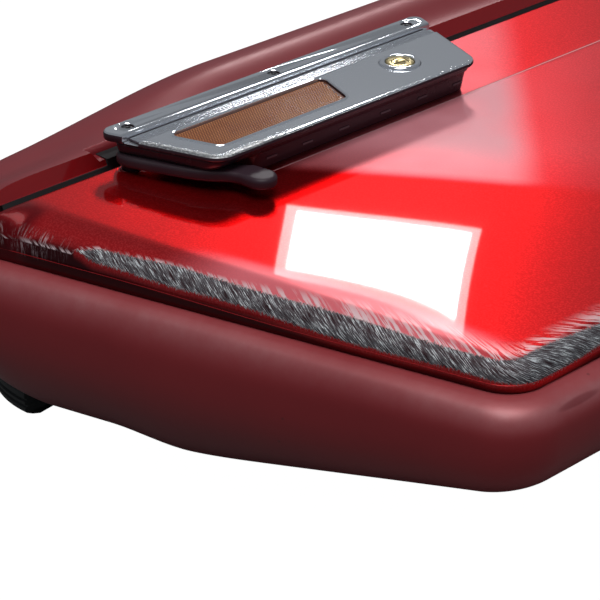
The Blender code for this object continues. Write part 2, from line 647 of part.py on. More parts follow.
def make_hooks(mats):
    """Shaft under the lid with two hooks that catch the strike plates."""
    x, z = SHAFT_AT
    shaft = rod_y("hook_shaft", x, z, 22.0, 238.0, 3.0, mats["steel"])
    release = math.radians(HOOK_RELEASE)
    caught = ((-2.6, 0), (2.6, 0), (1.8, -21.8), (-1.0, -23.4), (-11.5, -23.4),
              (-13.0, -21.6), (-12.4, -19.0), (-6.0, -19.0), (-4.8, -17.6))
    hook = [(x + dx * math.cos(release) - dz * math.sin(release),
             z + dx * math.sin(release) + dz * math.cos(release)) for dx, dz in caught]
    for i, y in enumerate(HOOK_Y):
        boolean(shaft, slice_y(f"hook_blade_{i + 1}", hook, y, y + 12.0), "UNION")
    crank = ((x - 2.4, z + 0.5), (x + 2.4, z + 0.5), (x + 1.5, z + 7.2), (x - 1.5, z + 7.2))
    boolean(shaft, slice_y("crank_blade", crank, 24.0, 28.0), "UNION")
    for i, y in enumerate((33.0, 120.0, 228.0)):
        bearing = slice_y(f"shaft_bearing_{i + 1}",
                          ((x - 5.2, z - 5.5), (x + 5.6, z - 5.5), (x + 5.6, z + 9.7),
                           (x - 5.2, z + 10.1)), y, y + 8.0, mats["satin"])
        boolean(bearing, rod_y(f"bearing_bore_{i + 1}", x, z, y - 2, y + 10, 3.5))
    for i, y in enumerate(HOOK_Y):
        strike = box(f"strike_plate_{i + 1}", (-318.4, y - 6, -5.4), (-304.8, y + 18, -3.35),
                     mats["steel"])
        bevel(strike, 0.5, 1)


# ---------------------------------------------------------------- back side
def make_back_hardware(mats):
    bolt_z = PLATE_Z[1] + 0.3
    for i, (x, y) in enumerate(MOUNTS):
        turned(f"mount_boss_{i + 1}", (x, y),
               ((BOSS_R, FLOOR_Z - GAP), (BOSS_R, FLOOR_Z - 4), (BOSS_R - 2, -SEAM_HEIGHT)),
               mats["steel"], 28)
        turned(f"mount_bolt_{i + 1}", (x, y),
               ((BOLT_R, bolt_z), (BOLT_R, bolt_z + 4), (BOLT_R - 1.5, bolt_z + 5.5)),
               mats["steel"], 6)
    plan = ((-346, 34), (-322, 18), (-190, 100), (-166, 140),
            (-166, 360), (-200, 378), (-330, 384), (-346, 370))
    stiffener = prism("inner_stiffener", plan, *PLATE_Z, mats["steel"])
    bevel(stiffener, 0.4, 1)
    turned("drain_plug", DRAIN_AT, ((9.0, FLOOR_Z - 3.2), (9.0, FLOOR_Z - GAP)),
           mats["rubber"], 20)


def main():
    for old in list(bpy.data.objects):
        bpy.data.objects.remove(old, do_unlink=True)
    mats = make_materials()
    make_outer_case(mats)
    make_tub(mats)
    make_corner_bumpers(mats)
    make_seal(mats)
    make_lid(mats)
    make_lid_liner(mats)
    make_hinges(mats)
    make_latch_base(mats)
    make_bezel(mats)
    make_lock(mats)
    make_lever(mats)
    make_hooks(mats)
    make_back_hardware(mats)


main()
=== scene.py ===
"""Looks for a hard motorcycle saddlebag that lies on its inner face.

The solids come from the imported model; this script rebuilds the visible shells
at a finer grain on the same dimensions, adds surface detail and wear, and sets
up a plain studio.  Sizes are in millimetres from the plan datum of the model:
X = 0 at the lower edge of the lid seam, Y = 0 at its front end, Z = 0 on the
seam, and `place` turns them into metres.
"""
import math

import bmesh
import bpy
from mathutils import Matrix, Vector, noise


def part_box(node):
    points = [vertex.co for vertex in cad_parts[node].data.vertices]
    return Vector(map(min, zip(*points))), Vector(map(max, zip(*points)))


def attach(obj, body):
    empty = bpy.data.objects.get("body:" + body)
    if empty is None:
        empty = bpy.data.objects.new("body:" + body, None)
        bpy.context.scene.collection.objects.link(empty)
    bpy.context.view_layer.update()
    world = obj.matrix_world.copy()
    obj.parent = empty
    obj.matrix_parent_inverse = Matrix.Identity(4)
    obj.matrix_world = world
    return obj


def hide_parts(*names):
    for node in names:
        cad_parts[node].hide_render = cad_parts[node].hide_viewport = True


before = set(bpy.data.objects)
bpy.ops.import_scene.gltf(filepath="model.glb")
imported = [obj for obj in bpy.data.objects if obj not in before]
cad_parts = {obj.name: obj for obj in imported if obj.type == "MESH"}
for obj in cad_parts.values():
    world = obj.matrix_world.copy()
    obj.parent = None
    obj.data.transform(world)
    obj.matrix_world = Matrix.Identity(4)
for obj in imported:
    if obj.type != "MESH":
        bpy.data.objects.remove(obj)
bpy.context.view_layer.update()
MM = 0.001

# ---------------------------------------------------------- driving dimensions
LEVER_PIVOT = (-303.0, 11.0)
FLOOR_Z = -138.0
PIN_LOW, PIN_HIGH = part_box("lever_pin")
PLAN_SHIFT = ((PIN_LOW.x + PIN_HIGH.x) / 2 - LEVER_PIVOT[0] * MM,
              (PIN_LOW.y + PIN_HIGH.y) / 2 - LEVER_PIVOT[1] * MM)
SEAM_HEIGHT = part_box("inner_case_tub")[0].z - FLOOR_Z * MM

FRONT_SLOPE, REAR_SLOPE = 0.275, -0.065
FRONT_Y, REAR_Y = -1.3, 447.0
RIGHT_X, LEFT_X = 2.0, -377.0
SEAM_LINES = (FRONT_Y, FRONT_SLOPE, RIGHT_X, REAR_Y, REAR_SLOPE, LEFT_X)

RIM_DEPTH = 91.0
RELIEF_START, RELIEF_END, RELIEF_FACTOR = 10.0, -185.0, 0.614
RELIEF_SOFT = 12.0             # rounds the bend where the relief ends
LEFT_RELIEF = 0.05             # the wall is this much shallower towards the top side
TOP_RISE_START, TOP_RISE_END, TOP_FACTOR = -272.0, -352.0, 0.72
WALL = 3.0
FLANGE = 16.0
# case wall: outward offset from the seam line, height above the seam
WALL_PROFILE = ((1.5, 0.0), (6.0, -1.4), (11.0, -5.0), (15.0, -11.5),
                (17.6, -21.0), (18.5, -34.0), (18.3, -48.0), (16.6, -61.0),
                (12.6, -73.0), (7.0, -81.5), (0.0, -87.6), (-7.0, -RIM_DEPTH))
WALL_INSIDE = ((-9.4, -88.4), (-2.0, -84.6), (4.6, -79.0), (9.8, -71.2),
               (13.6, -60.0), (15.3, -48.0), (15.5, -34.0), (14.6, -22.0),
               (12.0, -13.5), (7.0, -6.5), (0.0, -WALL))

GAP_Z = 0.35                   # clearance under the mouth seal

LID_LEFT_X = -311.0
LID_LINES = (*SEAM_LINES[:5], LID_LEFT_X)
LID_EDGE_Z, LID_RISE, LID_CROWN = 14.5, 0.040, 4.0
CREASE_X, CREASE_START = -246.0, (58.0, 72.0)
LID_ROLL = (12.0, 29.0)
LEFT_ROLL = 3.0
LID_RADII = (24.0, 44.0, 8.0, 4.0)   # in the order of corner_points
SKIRT_BOTTOM = 0.8

HOOD_EDGE_X = -317.0
HOOD_TOP, HOOD_FALL, HOOD_CROWN = 34.6, -11.0, 20.0
LIP_BOTTOM, NOTCH_Z = 25.4, 28.6

LATCH_SLOPE, LATCH_ENDS_X, LATCH_LENGTH = 0.35, -310.0, 262.0
LATCH_LEFT, LATCH_RIGHT = -317.6, -241.0
PLATE_RIGHT, CHANNEL_RIGHT = -301.4, -291.0
BEZEL_BOTTOM, BEZEL_TOP, PLATE_TOP = 43.8, 47.0, 49.5
LENS = (-287.5, -255.0, 18.0, 158.0)     # left, right, start, end
LENS_RADII = (6.0, 6.0, 5.0, 5.0)
PRISM_PITCH, PRISM_FOOT, PRISM_TIP = 1.75, 45.8, 46.45
LOCK_AT = (-271.0, 200.0)
LEVER_Z, LEVER_ROUND = (29.8, 36.8), 2.6
SCREW_X, SCREW_Y = -309.8, (15.3, 131.0, 246.5)
HINGE_AXIS, HINGE_Y, HINGE_LENGTH = (3.5, 0.5), (120.0, 336.0), 50.0

SIDE_STEPS = (150, 130, 90, 120)   # front, lower, rear and top side segments
ARC_STEPS = 30
PAST_X, PAST_Y, PAST_Z = 60, (-200, 600), 60   # cutters reach past the part to here
SHARP_ANGLE = 32.0             # edges sharper than this stay crisp, in degrees


# -------------------------------------------------------------------- helpers
def place(x, y, z):
    """Datum millimetres to world metres."""
    return Vector((x * MM + PLAN_SHIFT[0], y * MM + PLAN_SHIFT[1], z * MM + SEAM_HEIGHT))


def datum(point):
    """World metres to datum millimetres."""
    return (point - Vector((*PLAN_SHIFT, SEAM_HEIGHT))) / MM


def clamp(value):
    return min(max(value, 0.0), 1.0)


def ease(value):
    value = clamp(value)
    return value * value * (3 - 2 * value)


def spline(points, per_span):
    """Smooth open curve through rows of numbers of any length."""
    rows = [Vector(p) for p in points]
    ends = [2 * rows[0] - rows[1]] + rows + [2 * rows[-1] - rows[-2]]
    out = []
    for i in range(len(rows) - 1):
        a, b, c, d = ends[i:i + 4]
        for k in range(per_span):
            t = k / per_span
            out.append(0.5 * (2 * b + (c - a) * t + (2 * a - 5 * b + 4 * c - d) * t * t
                              + (3 * b - a - 3 * c + d) * t ** 3))
    out.append(rows[-1])
    return out


def corner_points(lines):
    """Corners: lower front, lower rear, top rear, top front."""
    front_y, front_slope, right, rear_y, rear_slope, left = lines
    return [Vector((right, front_y + front_slope * right)),
            Vector((right, rear_y + rear_slope * right)),
            Vector((left, rear_y + rear_slope * left)),
            Vector((left, front_y + front_slope * left))]


def outline(lines, radii, arc_steps=ARC_STEPS, side_steps=SIDE_STEPS):
    """Counter-clockwise rounded quadrilateral, always with the same count."""
    corners = corner_points(lines)
    arcs = []
    for i, corner in enumerate(corners):
        before = (corners[i - 1] - corner).normalized()
        after = (corners[(i + 1) % 4] - corner).normalized()
        half = before.angle(after) / 2
        reach = radii[i] / math.tan(half)
        centre = corner + (before + after).normalized() * (radii[i] / math.sin(half))
        start = corner + before * reach - centre
        turn = math.pi - 2 * half
        arcs.append([centre + Matrix.Rotation(turn * k / arc_steps, 2) @ start
                     for k in range(arc_steps + 1)])
    points = []
    for i in range(4):
        points += arcs[i]
        first, last = arcs[i][-1], arcs[(i + 1) % 4][0]
        steps = side_steps[(i + 1) % 4]
        points += [first.lerp(last, k / steps) for k in range(1, steps)]
    return points


def offset_lines(lines, front, left=None):
    """Move the sides outwards; the left side may have its own distance."""
    left = front if left is None else left
    return (lines[0] - front * math.hypot(1, lines[1]), lines[1], lines[2] + front,
            lines[3] + front * math.hypot(1, lines[4]), lines[4], lines[5] - left)


def depth_factor(x):
    """Share of the full depth that the case has at X; it thins out above the lower side."""
    span = RELIEF_START - RELIEF_END
    low = (RELIEF_START - x) / span
    over = (low - 1) * span / RELIEF_SOFT
    low = 1 - RELIEF_SOFT / span * math.log1p(math.exp(-over)) if over < 9 else 1.0
    top = ease((TOP_RISE_START - x) / (TOP_RISE_START - TOP_RISE_END))
    left = LEFT_RELIEF * ease((RELIEF_END - x) / 50.0) * (1 - top)
    return RELIEF_FACTOR + (1 - RELIEF_FACTOR) * low - (1 - TOP_FACTOR) * top - left


def ring(points, height):
    """Place a plan outline at one height, or at heights given by a rule."""
    if callable(height):
        return [place(p.x, p.y, height(p.x, p.y)) for p in points]
    return [place(p.x, p.y, height) for p in points]


def new_object(name, bm, mat, sharp=SHARP_ANGLE):
    """Turn a bmesh into a smooth-shaded object at the origin."""
    bmesh.ops.recalc_face_normals(bm, faces=bm.faces)
    mesh = bpy.data.meshes.new(name)
    bm.to_mesh(mesh)
    bm.free()
    mesh.shade_smooth()
    mesh.set_sharp_from_angle(angle=math.radians(sharp))
    if mat:
        mesh.materials.append(mat)
    made = bpy.data.objects.new(name, mesh)
    bpy.context.scene.collection.objects.link(made)
    return made


def loft_mesh(rings, capped=True):
    """Skin rings of equal count.  Without caps the last ring joins the first."""
    bm = bmesh.new()
    rows = [[bm.verts.new(p) for p in points] for points in rings]
    pairs = list(zip(rows, rows[1:]))
    if not capped:
        pairs.append((rows[-1], rows[0]))
    count = len(rows[0])
    for low, high in pairs:
        for i in range(count):
            j = (i + 1) % count
            bm.faces.new((low[i], low[j], high[j], high[i]))
    if capped:
        bm.faces.new(rows[0][::-1])
        bm.faces.new(rows[-1])
    return bm


def loft(name, rings, mat=None, capped=True):
    return new_object(name, loft_mesh(rings, capped), mat)


def prism(name, points, low, high, mat=None):
    corners = [Vector(p) for p in points]
    return loft(name, [ring(corners, low), ring(corners, high)], mat)


def box(name, low, high, mat=None):
    (x0, y0, z0), (x1, y1, z1) = low, high
    return prism(name, ((x0, y0), (x1, y0), (x1, y1), (x0, y1)), z0, z1, mat)


def circle(centre, radius, steps=48):
    return [Vector((centre[0] + radius * math.cos(math.tau * k / steps),
                    centre[1] + radius * math.sin(math.tau * k / steps)))
            for k in range(steps)]


def turned(name, centre, profile, mat=None, capped=True):
    """Upright turned piece from (radius, z) pairs."""
    return loft(name, [ring(circle(centre, r), z) for r, z in profile], mat, capped)


def rod_y(name, x, z, y0, y1, radius, mat=None, steps=32):
    """Rod along Y."""
    ends = [[place(x + radius * math.cos(math.tau * k / steps), y,
                   z + radius * math.sin(math.tau * k / steps))
             for k in range(steps)] for y in (y0, y1)]
    return loft(name, ends, mat)


def slice_y(name, profile, y0, y1, mat=None):
    """Bar along Y from a profile of (x, z) points."""
    return loft(name, [[place(x, y, z) for x, z in profile] for y in (y0, y1)], mat)


def apply_modifiers(target):
    """Freeze the modifiers into the mesh and remove the cutters they used."""
    cutters = [m.object for m in target.modifiers if m.type == "BOOLEAN"]
    graph = bpy.context.evaluated_depsgraph_get()
    mesh = bpy.data.meshes.new_from_object(target.evaluated_get(graph))
    target.modifiers.clear()
    target.data = mesh
    for cutter in cutters:
        bpy.data.objects.remove(cutter)
    return target


def combine(target, cutters, operation="DIFFERENCE", solver="EXACT"):
    """Cut the other pieces from the target, or join them to it."""
    for cutter in cutters:
        mod = target.modifiers.new(operation.title(), "BOOLEAN")
        mod.operation = operation
        mod.solver = solver
        mod.object = cutter
    return apply_modifiers(target)


def bevel(target, width, segments):
    """Round the sharp edges."""
    mod = target.modifiers.new("Bevel", "BEVEL")
    mod.width = width * MM
    mod.segments = segments
    mod.limit_method = "ANGLE"
    mod.angle_limit = math.radians(SHARP_ANGLE)
    mod.harden_normals = True
    return apply_modifiers(target)


def repaint(piece, mat, chosen, smooth=True):
    """Give the faces picked by a rule on their place and normal another material."""
    piece.data.materials.append(mat)
    for face in piece.data.polygons:
        if chosen(datum(face.center), face.normal):
            face.material_index = len(piece.data.materials) - 1
            face.use_smooth = smooth


def stand_for(piece, body, slot, *nodes):
    """The piece rides on a body and takes the place of CAD nodes."""
    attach(piece, body)
    if nodes:
        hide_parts(*nodes)
    return piece


# ------------------------------------------------------------------ materials
class Shader:
    """A material's node tree, built a node at a time.

    Texture coordinates are the piece's own, in metres, so a pattern keeps its
    place on the piece when a joint moves.
    """

    def __init__(self, name, colour, roughness, metallic=0.0):
        self.material = bpy.data.materials.new(name)
        self.material.use_nodes = True
        self.tree = self.material.node_tree
        self.surface = self.tree.nodes["Principled BSDF"]
        self.set("Base Color", (*colour, 1.0))
        self.set("Roughness", roughness)
        self.set("Metallic", metallic)
        self.material.diffuse_color = (*colour, 1.0)
        self.coords = self.tree.nodes.new("ShaderNodeTexCoord").outputs["Object"]
        self.last_normal = None

    def set(self, socket, value):
        """Give a shader socket a constant, or link an output to it."""
        if isinstance(value, bpy.types.NodeSocket):
            self.tree.links.new(value, self.surface.inputs[socket])
        else:
            self.surface.inputs[socket].default_value = value

    def fill(self, node, values):
        for key, value in values.items():
            if isinstance(value, bpy.types.NodeSocket):
                self.tree.links.new(value, node.inputs[key])
            else:
                node.inputs[key].default_value = value
        return node

    def split(self, vector):
        parts = self.tree.nodes.new("ShaderNodeSeparateXYZ")
        self.tree.links.new(vector, parts.inputs[0])
        return parts.outputs

    def attribute(self, name):
        node = self.tree.nodes.new("ShaderNodeAttribute")
        node.attribute_name = name
        return self.split(node.outputs["Vector"])

    def datum(self):
        """The three datum coordinates in millimetres."""
        return [self.times(self.plus(part, -shift), 1 / MM) for part, shift in zip(
            self.split(self.coords), (*PLAN_SHIFT, SEAM_HEIGHT))]

    def normal_z(self):
        """Upward part of the surface's own normal, read in the piece's frame."""
        node = self.tree.nodes.new("ShaderNodeTexCoord")
        return self.split(node.outputs["Normal"])[2]

    def vector(self, x, y):
        node = self.tree.nodes.new("ShaderNodeCombineXYZ")
        return self.fill(node, {0: x, 1: y}).outputs[0]

    def stretch(self, scale):
        node = self.tree.nodes.new("ShaderNodeMapping")
        return self.fill(node, {"Vector": self.coords, "Scale": scale}).outputs[0]

    def noise(self, scale, detail=3.0, rough=0.5, vector=None, distortion=0.0):
        node = self.tree.nodes.new("ShaderNodeTexNoise")
        self.fill(node, {"Vector": vector or self.coords, "Scale": scale, "Detail": detail,
                         "Roughness": rough, "Distortion": distortion})
        return node.outputs["Fac"]

    def cells(self, scale, output="Distance"):
        node = self.tree.nodes.new("ShaderNodeTexVoronoi")
        return self.fill(node, {"Vector": self.coords, "Scale": scale}).outputs[output]

    def math(self, operation, total, *values):
        """One operation; with more than two values it is chained."""
        for value in values or [0.0]:
            node = self.tree.nodes.new("ShaderNodeMath")
            node.operation = operation
            total = self.fill(node, {0: total, 1: value}).outputs[0]
        return total

    def times(self, *values):
        return self.math("MULTIPLY", *values)

    def plus(self, *values):
        return self.math("ADD", *values)

    def most(self, *values):
        return self.math("MAXIMUM", *values)

    def between(self, value, low, high, to_low=0.0, to_high=1.0):
        """Smooth step of a value from low to high."""
        node = self.tree.nodes.new("ShaderNodeMapRange")
        node.interpolation_type = "SMOOTHSTEP"
        self.fill(node, {"Value": value, "From Min": low, "From Max": high,
                         "To Min": to_low, "To Max": to_high})
        return node.outputs[0]

    def mix(self, factor, a, b):
        node = self.tree.nodes.new("ShaderNodeMix")
        node.data_type = "RGBA"
        sockets = {0: factor}
        for index, value in ((6, a), (7, b)):
            is_link = isinstance(value, bpy.types.NodeSocket)
            sockets[index] = value if is_link else (*value, 1.0)
        return self.fill(node, sockets).outputs[2]

    def blend(self, factor, a, b):
        """Blend two plain values."""
        node = self.tree.nodes.new("ShaderNodeMix")
        return self.fill(node, {0: factor, 2: a, 3: b}).outputs[0]

    def bump(self, height, strength, depth_mm):
        """Add a bump on top of the ones already there."""
        node = self.tree.nodes.new("ShaderNodeBump")
        self.fill(node, {"Height": height, "Strength": strength, "Distance": depth_mm * MM})
        if self.last_normal:
            self.tree.links.new(self.last_normal, node.inputs["Normal"])
        self.last_normal = node.outputs[0]
        self.tree.links.new(self.last_normal, self.surface.inputs["Normal"])


FILM_TURN, FILM_START = 0.72, 246.0          # slope and start of the border of the pale film and its painted reflection
FEATHER_REACH = (3.0, 20.0)                  # scratches above the band: front end, corner
FIBRE_SLANT = (0.57, 0.82)                   # sine and cosine of the fibres' slant


def scratches_and_reflection(s, across, length):
    """Pale film of fine scratches beside the latch, with the backdrop's reflection painted in.
    """
    past_border = s.plus(s.times(across, -FILM_TURN), length)
    return s.times(
        s.between(past_border, FILM_START, FILM_START + 20.0),
        s.between(past_border, FILM_START + 10.0, FILM_START + 84.0, 0.55, 1.0),
        s.between(s.plus(across, length), 8.0, 48.0, 1.0, 0.16),
        s.between(across, CREASE_X - 0.6, CREASE_X, 0.4, 1.0),
        s.between(s.noise(14.0, 3.0), 0.25, 0.60, 0.8, 1.0))


def scuffs(s, along, above):
    """Lighter scuffs past the band's front end."""
    place_on_edge = s.vector(s.times(s.plus(along, s.times(above, 0.22)), 0.75),
                             s.times(above, 0.10))
    patches = s.noise(0.07, 2.0, 0.5, s.vector(along, 0.0))
    return s.times(
        s.between(s.noise(1.0, 5.0, 0.75, place_on_edge, 0.4), 0.50, 0.66),
        s.between(along, -266.0, -284.0), s.between(along, -334.0, -320.0),
        s.between(above, -9.0, -1.0), s.between(above, 12.0, 5.0),
        s.between(patches, 0.36, 0.56), 0.75)


def lid_paint():
    """Metallic red under clear coat, with the worn band along the lower edge."""
    s = Shader("lid_red", (0.62, 0.008, 0.014), 0.33, 0.95)
    s.set("Coat Weight", 1.0)
    s.set("Coat Roughness", 0.025)
    s.set("Coat IOR", 1.5)
    s.set("Specular Tint", (1.0, 0.12, 0.12, 1.0))
    along, above, below = s.attribute("trim")
    across, length, _ = s.datum()
    paint = s.mix(s.noise(6.0, 2.0), (0.62, 0.004, 0.008), (0.76, 0.008, 0.013))
    flake = s.between(s.noise(900.0, 2.0), 0.40, 0.66)
    paint = s.mix(s.times(flake, 0.55), paint, (0.98, 0.045, 0.050))

    # fine swirl marks in the coat
    swirl = s.noise(260.0, 5.0, 0.65, s.stretch((1.0, 0.35, 1.0)), 1.2)
    haze = s.between(s.noise(26.0, 3.0), 0.52, 0.78)
    marks = s.times(s.between(swirl, 0.60, 0.74), s.between(haze, 0.0, 1.0, 0.02, 0.16))
    paint = s.mix(marks, paint, (0.85, 0.20, 0.22))

    # the pale film of scratches with its painted reflection, and a paler red patch between the
    # scrape and the middle of the lid
    film_and_reflection = scratches_and_reflection(s, across, length)
    paint = s.mix(s.times(film_and_reflection, 0.85), paint, (0.98, 0.44, 0.50))
    paler_red_patch = s.times(s.between(above, 28.0, 10.0, 0.0, 0.8),
                       s.between(along, -225.0, -165.0), s.between(along, 12.0, -60.0),
                       s.between(above, -2.0, 0.0))
    paint = s.mix(paler_red_patch, paint, (1.0, 0.24, 0.28))

    # the light catches the edge of the pad under the latch
    from_edge = s.math("ABSOLUTE", s.plus(across, -CREASE_X))
    edge_line = s.times(s.between(from_edge, 0.75, 0.25), s.between(length, *CREASE_START),
                        s.between(s.normal_z(), 0.6, 0.8))
    paint = s.mix(s.times(edge_line, 0.7), paint, (0.95, 0.55, 0.58))

    # painted shade under the band and round the lid's top front corner
    corner = s.times(s.between(across, -283.0, -297.0),
                     s.between(length, -48.0, -64.0, 0.0, 0.9))
    under = s.most(s.between(below, 0.5, 6.0), corner)
    paint = s.mix(under, paint, (0.07, 0.003, 0.006))

    # the scrape: distance outside the band, made ragged
    ragged = s.noise(1.0, 4.0, 0.62, s.vector(s.times(along, 0.9), s.times(above, 0.35)))
    outside = s.plus(s.most(above, below), s.times(s.plus(ragged, -0.5), 5.5))
    scraped = s.between(outside, 0.35, -0.35)

    # fibres cross the band at a slant
    sine, cosine = FIBRE_SLANT
    across_fibre = s.plus(s.times(along, sine), s.times(above, cosine))
    along_fibre = s.plus(s.times(along, cosine), s.times(above, -sine))
    fibre_place = s.vector(s.times(across_fibre, 2.1), s.times(along_fibre, 0.10))
    fibre = s.noise(1.0, 6.0, 0.62, fibre_place, 0.25)
    coarse = s.noise(0.28, 3.0, 0.6, s.vector(across_fibre, along_fibre))
    grey = s.mix(s.between(fibre, 0.38, 0.58), (0.012, 0.016, 0.020), (0.17, 0.195, 0.21))
    light = s.times(s.between(fibre, 0.545, 0.60), s.between(coarse, 0.34, 0.52, 0.25, 1.0))
    grey = s.mix(light, grey, (0.90, 0.97, 0.99))

    # pale rim of torn paint, and feathered scratches that rise into the red
    rim = s.times(s.between(outside, 0.9, 0.1), s.between(outside, -0.9, -0.2),
                  s.between(fibre, 0.38, 0.62))
    reach = s.between(along, -190.0, -70.0, *FEATHER_REACH)
    tufts = s.noise(0.09, 2.0, 0.5, s.vector(across_fibre, 0.0))
    strokes = s.noise(1.0, 4.0, 0.6, s.vector(s.times(across_fibre, 0.55),
                                              s.times(along_fibre, 0.030)))
    feather = s.times(s.between(s.math("DIVIDE", above, reach), 1.0, 0.0),
                      s.between(tufts, 0.34, 0.50), s.between(strokes, 0.46, 0.53),
                      s.between(above, -0.5, 0.3), s.between(along, 185.0, 150.0))
    feather = s.most(feather, scuffs(s, along, above))

    colour = s.mix(s.times(feather, 0.90), paint, (1.0, 0.78, 0.80))
    colour = s.mix(scraped, colour, grey)
    colour = s.mix(s.times(rim, 0.75), colour, (0.62, 0.50, 0.50))
    s.set("Base Color", colour)
    damaged = s.most(scraped, s.times(feather, 0.8), film_and_reflection, paler_red_patch, edge_line, corner)
    s.set("Metallic", s.blend(damaged, 0.95, 0.05))
    s.set("Roughness", s.blend(scraped, 0.33, 0.55))
    dulled = s.most(scraped, feather, corner, s.times(under, 0.6))
    s.set("Coat Weight", s.blend(dulled, 1.0, 0.04))
    s.bump(s.times(fibre, scraped), 0.9, 0.5)
    s.bump(s.noise(2200.0, 2.0), 0.05, 0.02)
    return s.material


def plain_paint():
    """The lid's paint without wear, for the skirt's bead and the edge beside the lid."""
    s = Shader("lid_red_plain", (0.62, 0.016, 0.022), 0.36, 0.75)
    s.set("Coat Weight", 1.0)
    s.set("Coat Roughness", 0.025)
    return s.material


DENT_SHADE_AT, DENT_SHADE_HALF = (30.0, -6.0), (17.0, 1.8)   # painted shade of a dent: Y and Z


def case_paint():
    """The same red, dulled: dust and painted sheen where it faces up, painted shade low down.
    """
    s = Shader("body_red", (0.20, 0.010, 0.014), 0.46, 0.25)
    s.set("Coat Weight", 0.32)
    s.set("Coat Roughness", 0.34)
    across, length, height = s.datum()
    blotch = s.noise(9.0, 4.0, 0.6)
    fine = s.noise(120.0, 4.0, 0.65)
    paint = s.mix(blotch, (0.32, 0.018, 0.026), (0.46, 0.030, 0.038))
    facing = s.normal_z()
    # dust, with a painted sheen on the shoulder where it faces up
    dust_and_sheen = s.times(s.between(facing, 0.05, 0.80), s.between(facing, 0.75, 1.0, 1.0, 0.4),
                   s.between(blotch, 0.25, 0.75, 0.30, 0.62),
                   s.between(fine, 0.2, 0.8, 0.75, 1.1),
                   s.between(height, 12.0, 20.0, 1.0, 0.25))
    paint = s.mix(dust_and_sheen, paint, (0.52, 0.24, 0.25))
    paint = s.mix(s.between(height, 12.0, 20.0, 0.0, 0.5), paint, (0.18, 0.012, 0.020))
    # painted shade: darker towards the bottom of the wall
    painted_shade_low = s.between(height, -28.0, -75.0)
    paint = s.mix(s.times(painted_shade_low, 0.55), paint, (0.07, 0.045, 0.05))

    # painted shade of a short dent beside the lid's front corner
    far = [s.times(s.plus(at, -middle), 1 / half)
           for at, middle, half in zip((length, height), DENT_SHADE_AT, DENT_SHADE_HALF)]
    dent_shade = s.times(s.between(s.plus(*(s.times(f, f) for f in far)), 1.2, 0.3),
                    s.between(across, -4.5, 5.5))
    paint = s.mix(s.times(dent_shade, 0.55), paint, (0.20, 0.014, 0.022))
    spots = s.times(s.between(s.cells(85.0), 0.10, 0.05),
                    s.between(s.noise(20.0, 1.0), 0.55, 0.62))
    paint = s.mix(s.times(spots, 0.5), paint, (0.05, 0.02, 0.02))
    s.set("Base Color", paint)
    s.set("Roughness", s.between(blotch, 0.2, 0.8, 0.36, 0.50))
    s.bump(s.noise(420.0, 2.0), 0.06, 0.05)
    s.bump(s.noise(14.0, 1.0), 0.05, 0.8)
    return s.material


def black_plastic(name, colour, grain, strength=0.35, roughness=0.55):
    """Moulded plastic with a fine pebbled grain and worn, paler high spots."""
    s = Shader(name, colour, roughness)
    pebbles = s.cells(grain)
    wear = s.between(s.noise(30.0, 4.0, 0.6), 0.5, 0.8)
    pale = tuple(c * 2.2 + 0.01 for c in colour)
    s.set("Base Color", s.mix(s.times(wear, 0.5), colour, pale))
    s.set("Roughness", s.between(wear, 0.0, 1.0, roughness, roughness + 0.14))
    s.bump(pebbles, strength, 0.12)
    s.bump(s.noise(18.0, 2.0), 0.05, 0.8)
    return s.material


def chrome(name="chrome", worn=False):
    """Polished plating; the worn one is pitted towards the latch's near corner."""
    bright = (0.84, 0.87, 0.92)
    s = Shader(name, bright, 0.05, 0.82)
    smear = s.between(s.noise(45.0, 3.0, 0.6, s.stretch((1.0, 0.25, 1.0))), 0.45, 0.75)
    s.set("Roughness", s.between(smear, 0.0, 1.0, 0.06, 0.11))
    if worn:
        amount = s.attribute("trim")[0]
        pits = s.noise(900.0, 4.0, 0.7)
        pitted = s.between(s.plus(amount, s.times(pits, 1.1)), 0.99, 1.20)
        flakes = s.cells(700.0, output="Color")
        bare = s.mix(s.between(pits, 0.42, 0.62), (0.17, 0.17, 0.18), (0.70, 0.71, 0.72))
        s.set("Base Color", s.mix(pitted, bright, bare))
        s.set("Roughness", s.blend(pitted, 0.07, 0.34))
        s.bump(s.times(flakes, pitted), 0.8, 0.25)
    return s.material


def gloss_black(name, roughness, colour=(0.045, 0.024, 0.034)):
    """Smooth black plastic with smudges."""
    s = Shader(name, colour, roughness)
    s.set("Specular IOR Level", 0.3)
    smudge = s.between(s.noise(35.0, 4.0, 0.6), 0.4, 0.8)
    s.set("Roughness", s.between(smudge, 0.0, 1.0, roughness, roughness + 0.12))
    s.set("Base Color", s.mix(s.times(smudge, 0.4), colour, (0.045, 0.038, 0.042)))
    s.bump(s.noise(600.0, 2.0), 0.04, 0.04)
    return s.material


def amber_plastic():
    """Amber lens, with painted shade in the valleys between its prisms."""
    s = Shader("amber_lens", (0.50, 0.14, 0.03), 0.16)
    s.set("Coat Weight", 0.6)
    s.set("Coat Roughness", 0.08)
    s.set("Specular IOR Level", 0.5)
    tone = s.mix(s.noise(55.0, 4.0, 0.6), (0.46, 0.14, 0.05), (0.85, 0.36, 0.13))
    # painted shade in the valleys between the prisms
    prism_valley_shade = s.between(s.datum()[2], PRISM_FOOT + 0.45, PRISM_FOOT + 0.1)
    s.set("Base Color", s.mix(s.times(prism_valley_shade, 0.85), tone, (0.10, 0.022, 0.012)))
    return s.material


def plated(name, colour, roughness, grain=(1.0, 1.0, 1.0)):
    """Plated steel or brass with brushed grain and dulled patches."""
    s = Shader(name, colour, roughness, 1.0)
    brush = s.noise(300.0, 3.0, 0.6, s.stretch(grain))
    dull = s.between(s.noise(40.0, 4.0, 0.6), 0.45, 0.75)
    darker = tuple(c * 0.5 for c in colour)
    s.set("Base Color", s.mix(s.times(dull, 0.6), colour, darker))
    s.set("Roughness", s.between(brush, 0.25, 0.75, roughness - 0.1, roughness + 0.12))
    s.bump(brush, 0.08, 0.05)
    return s.material


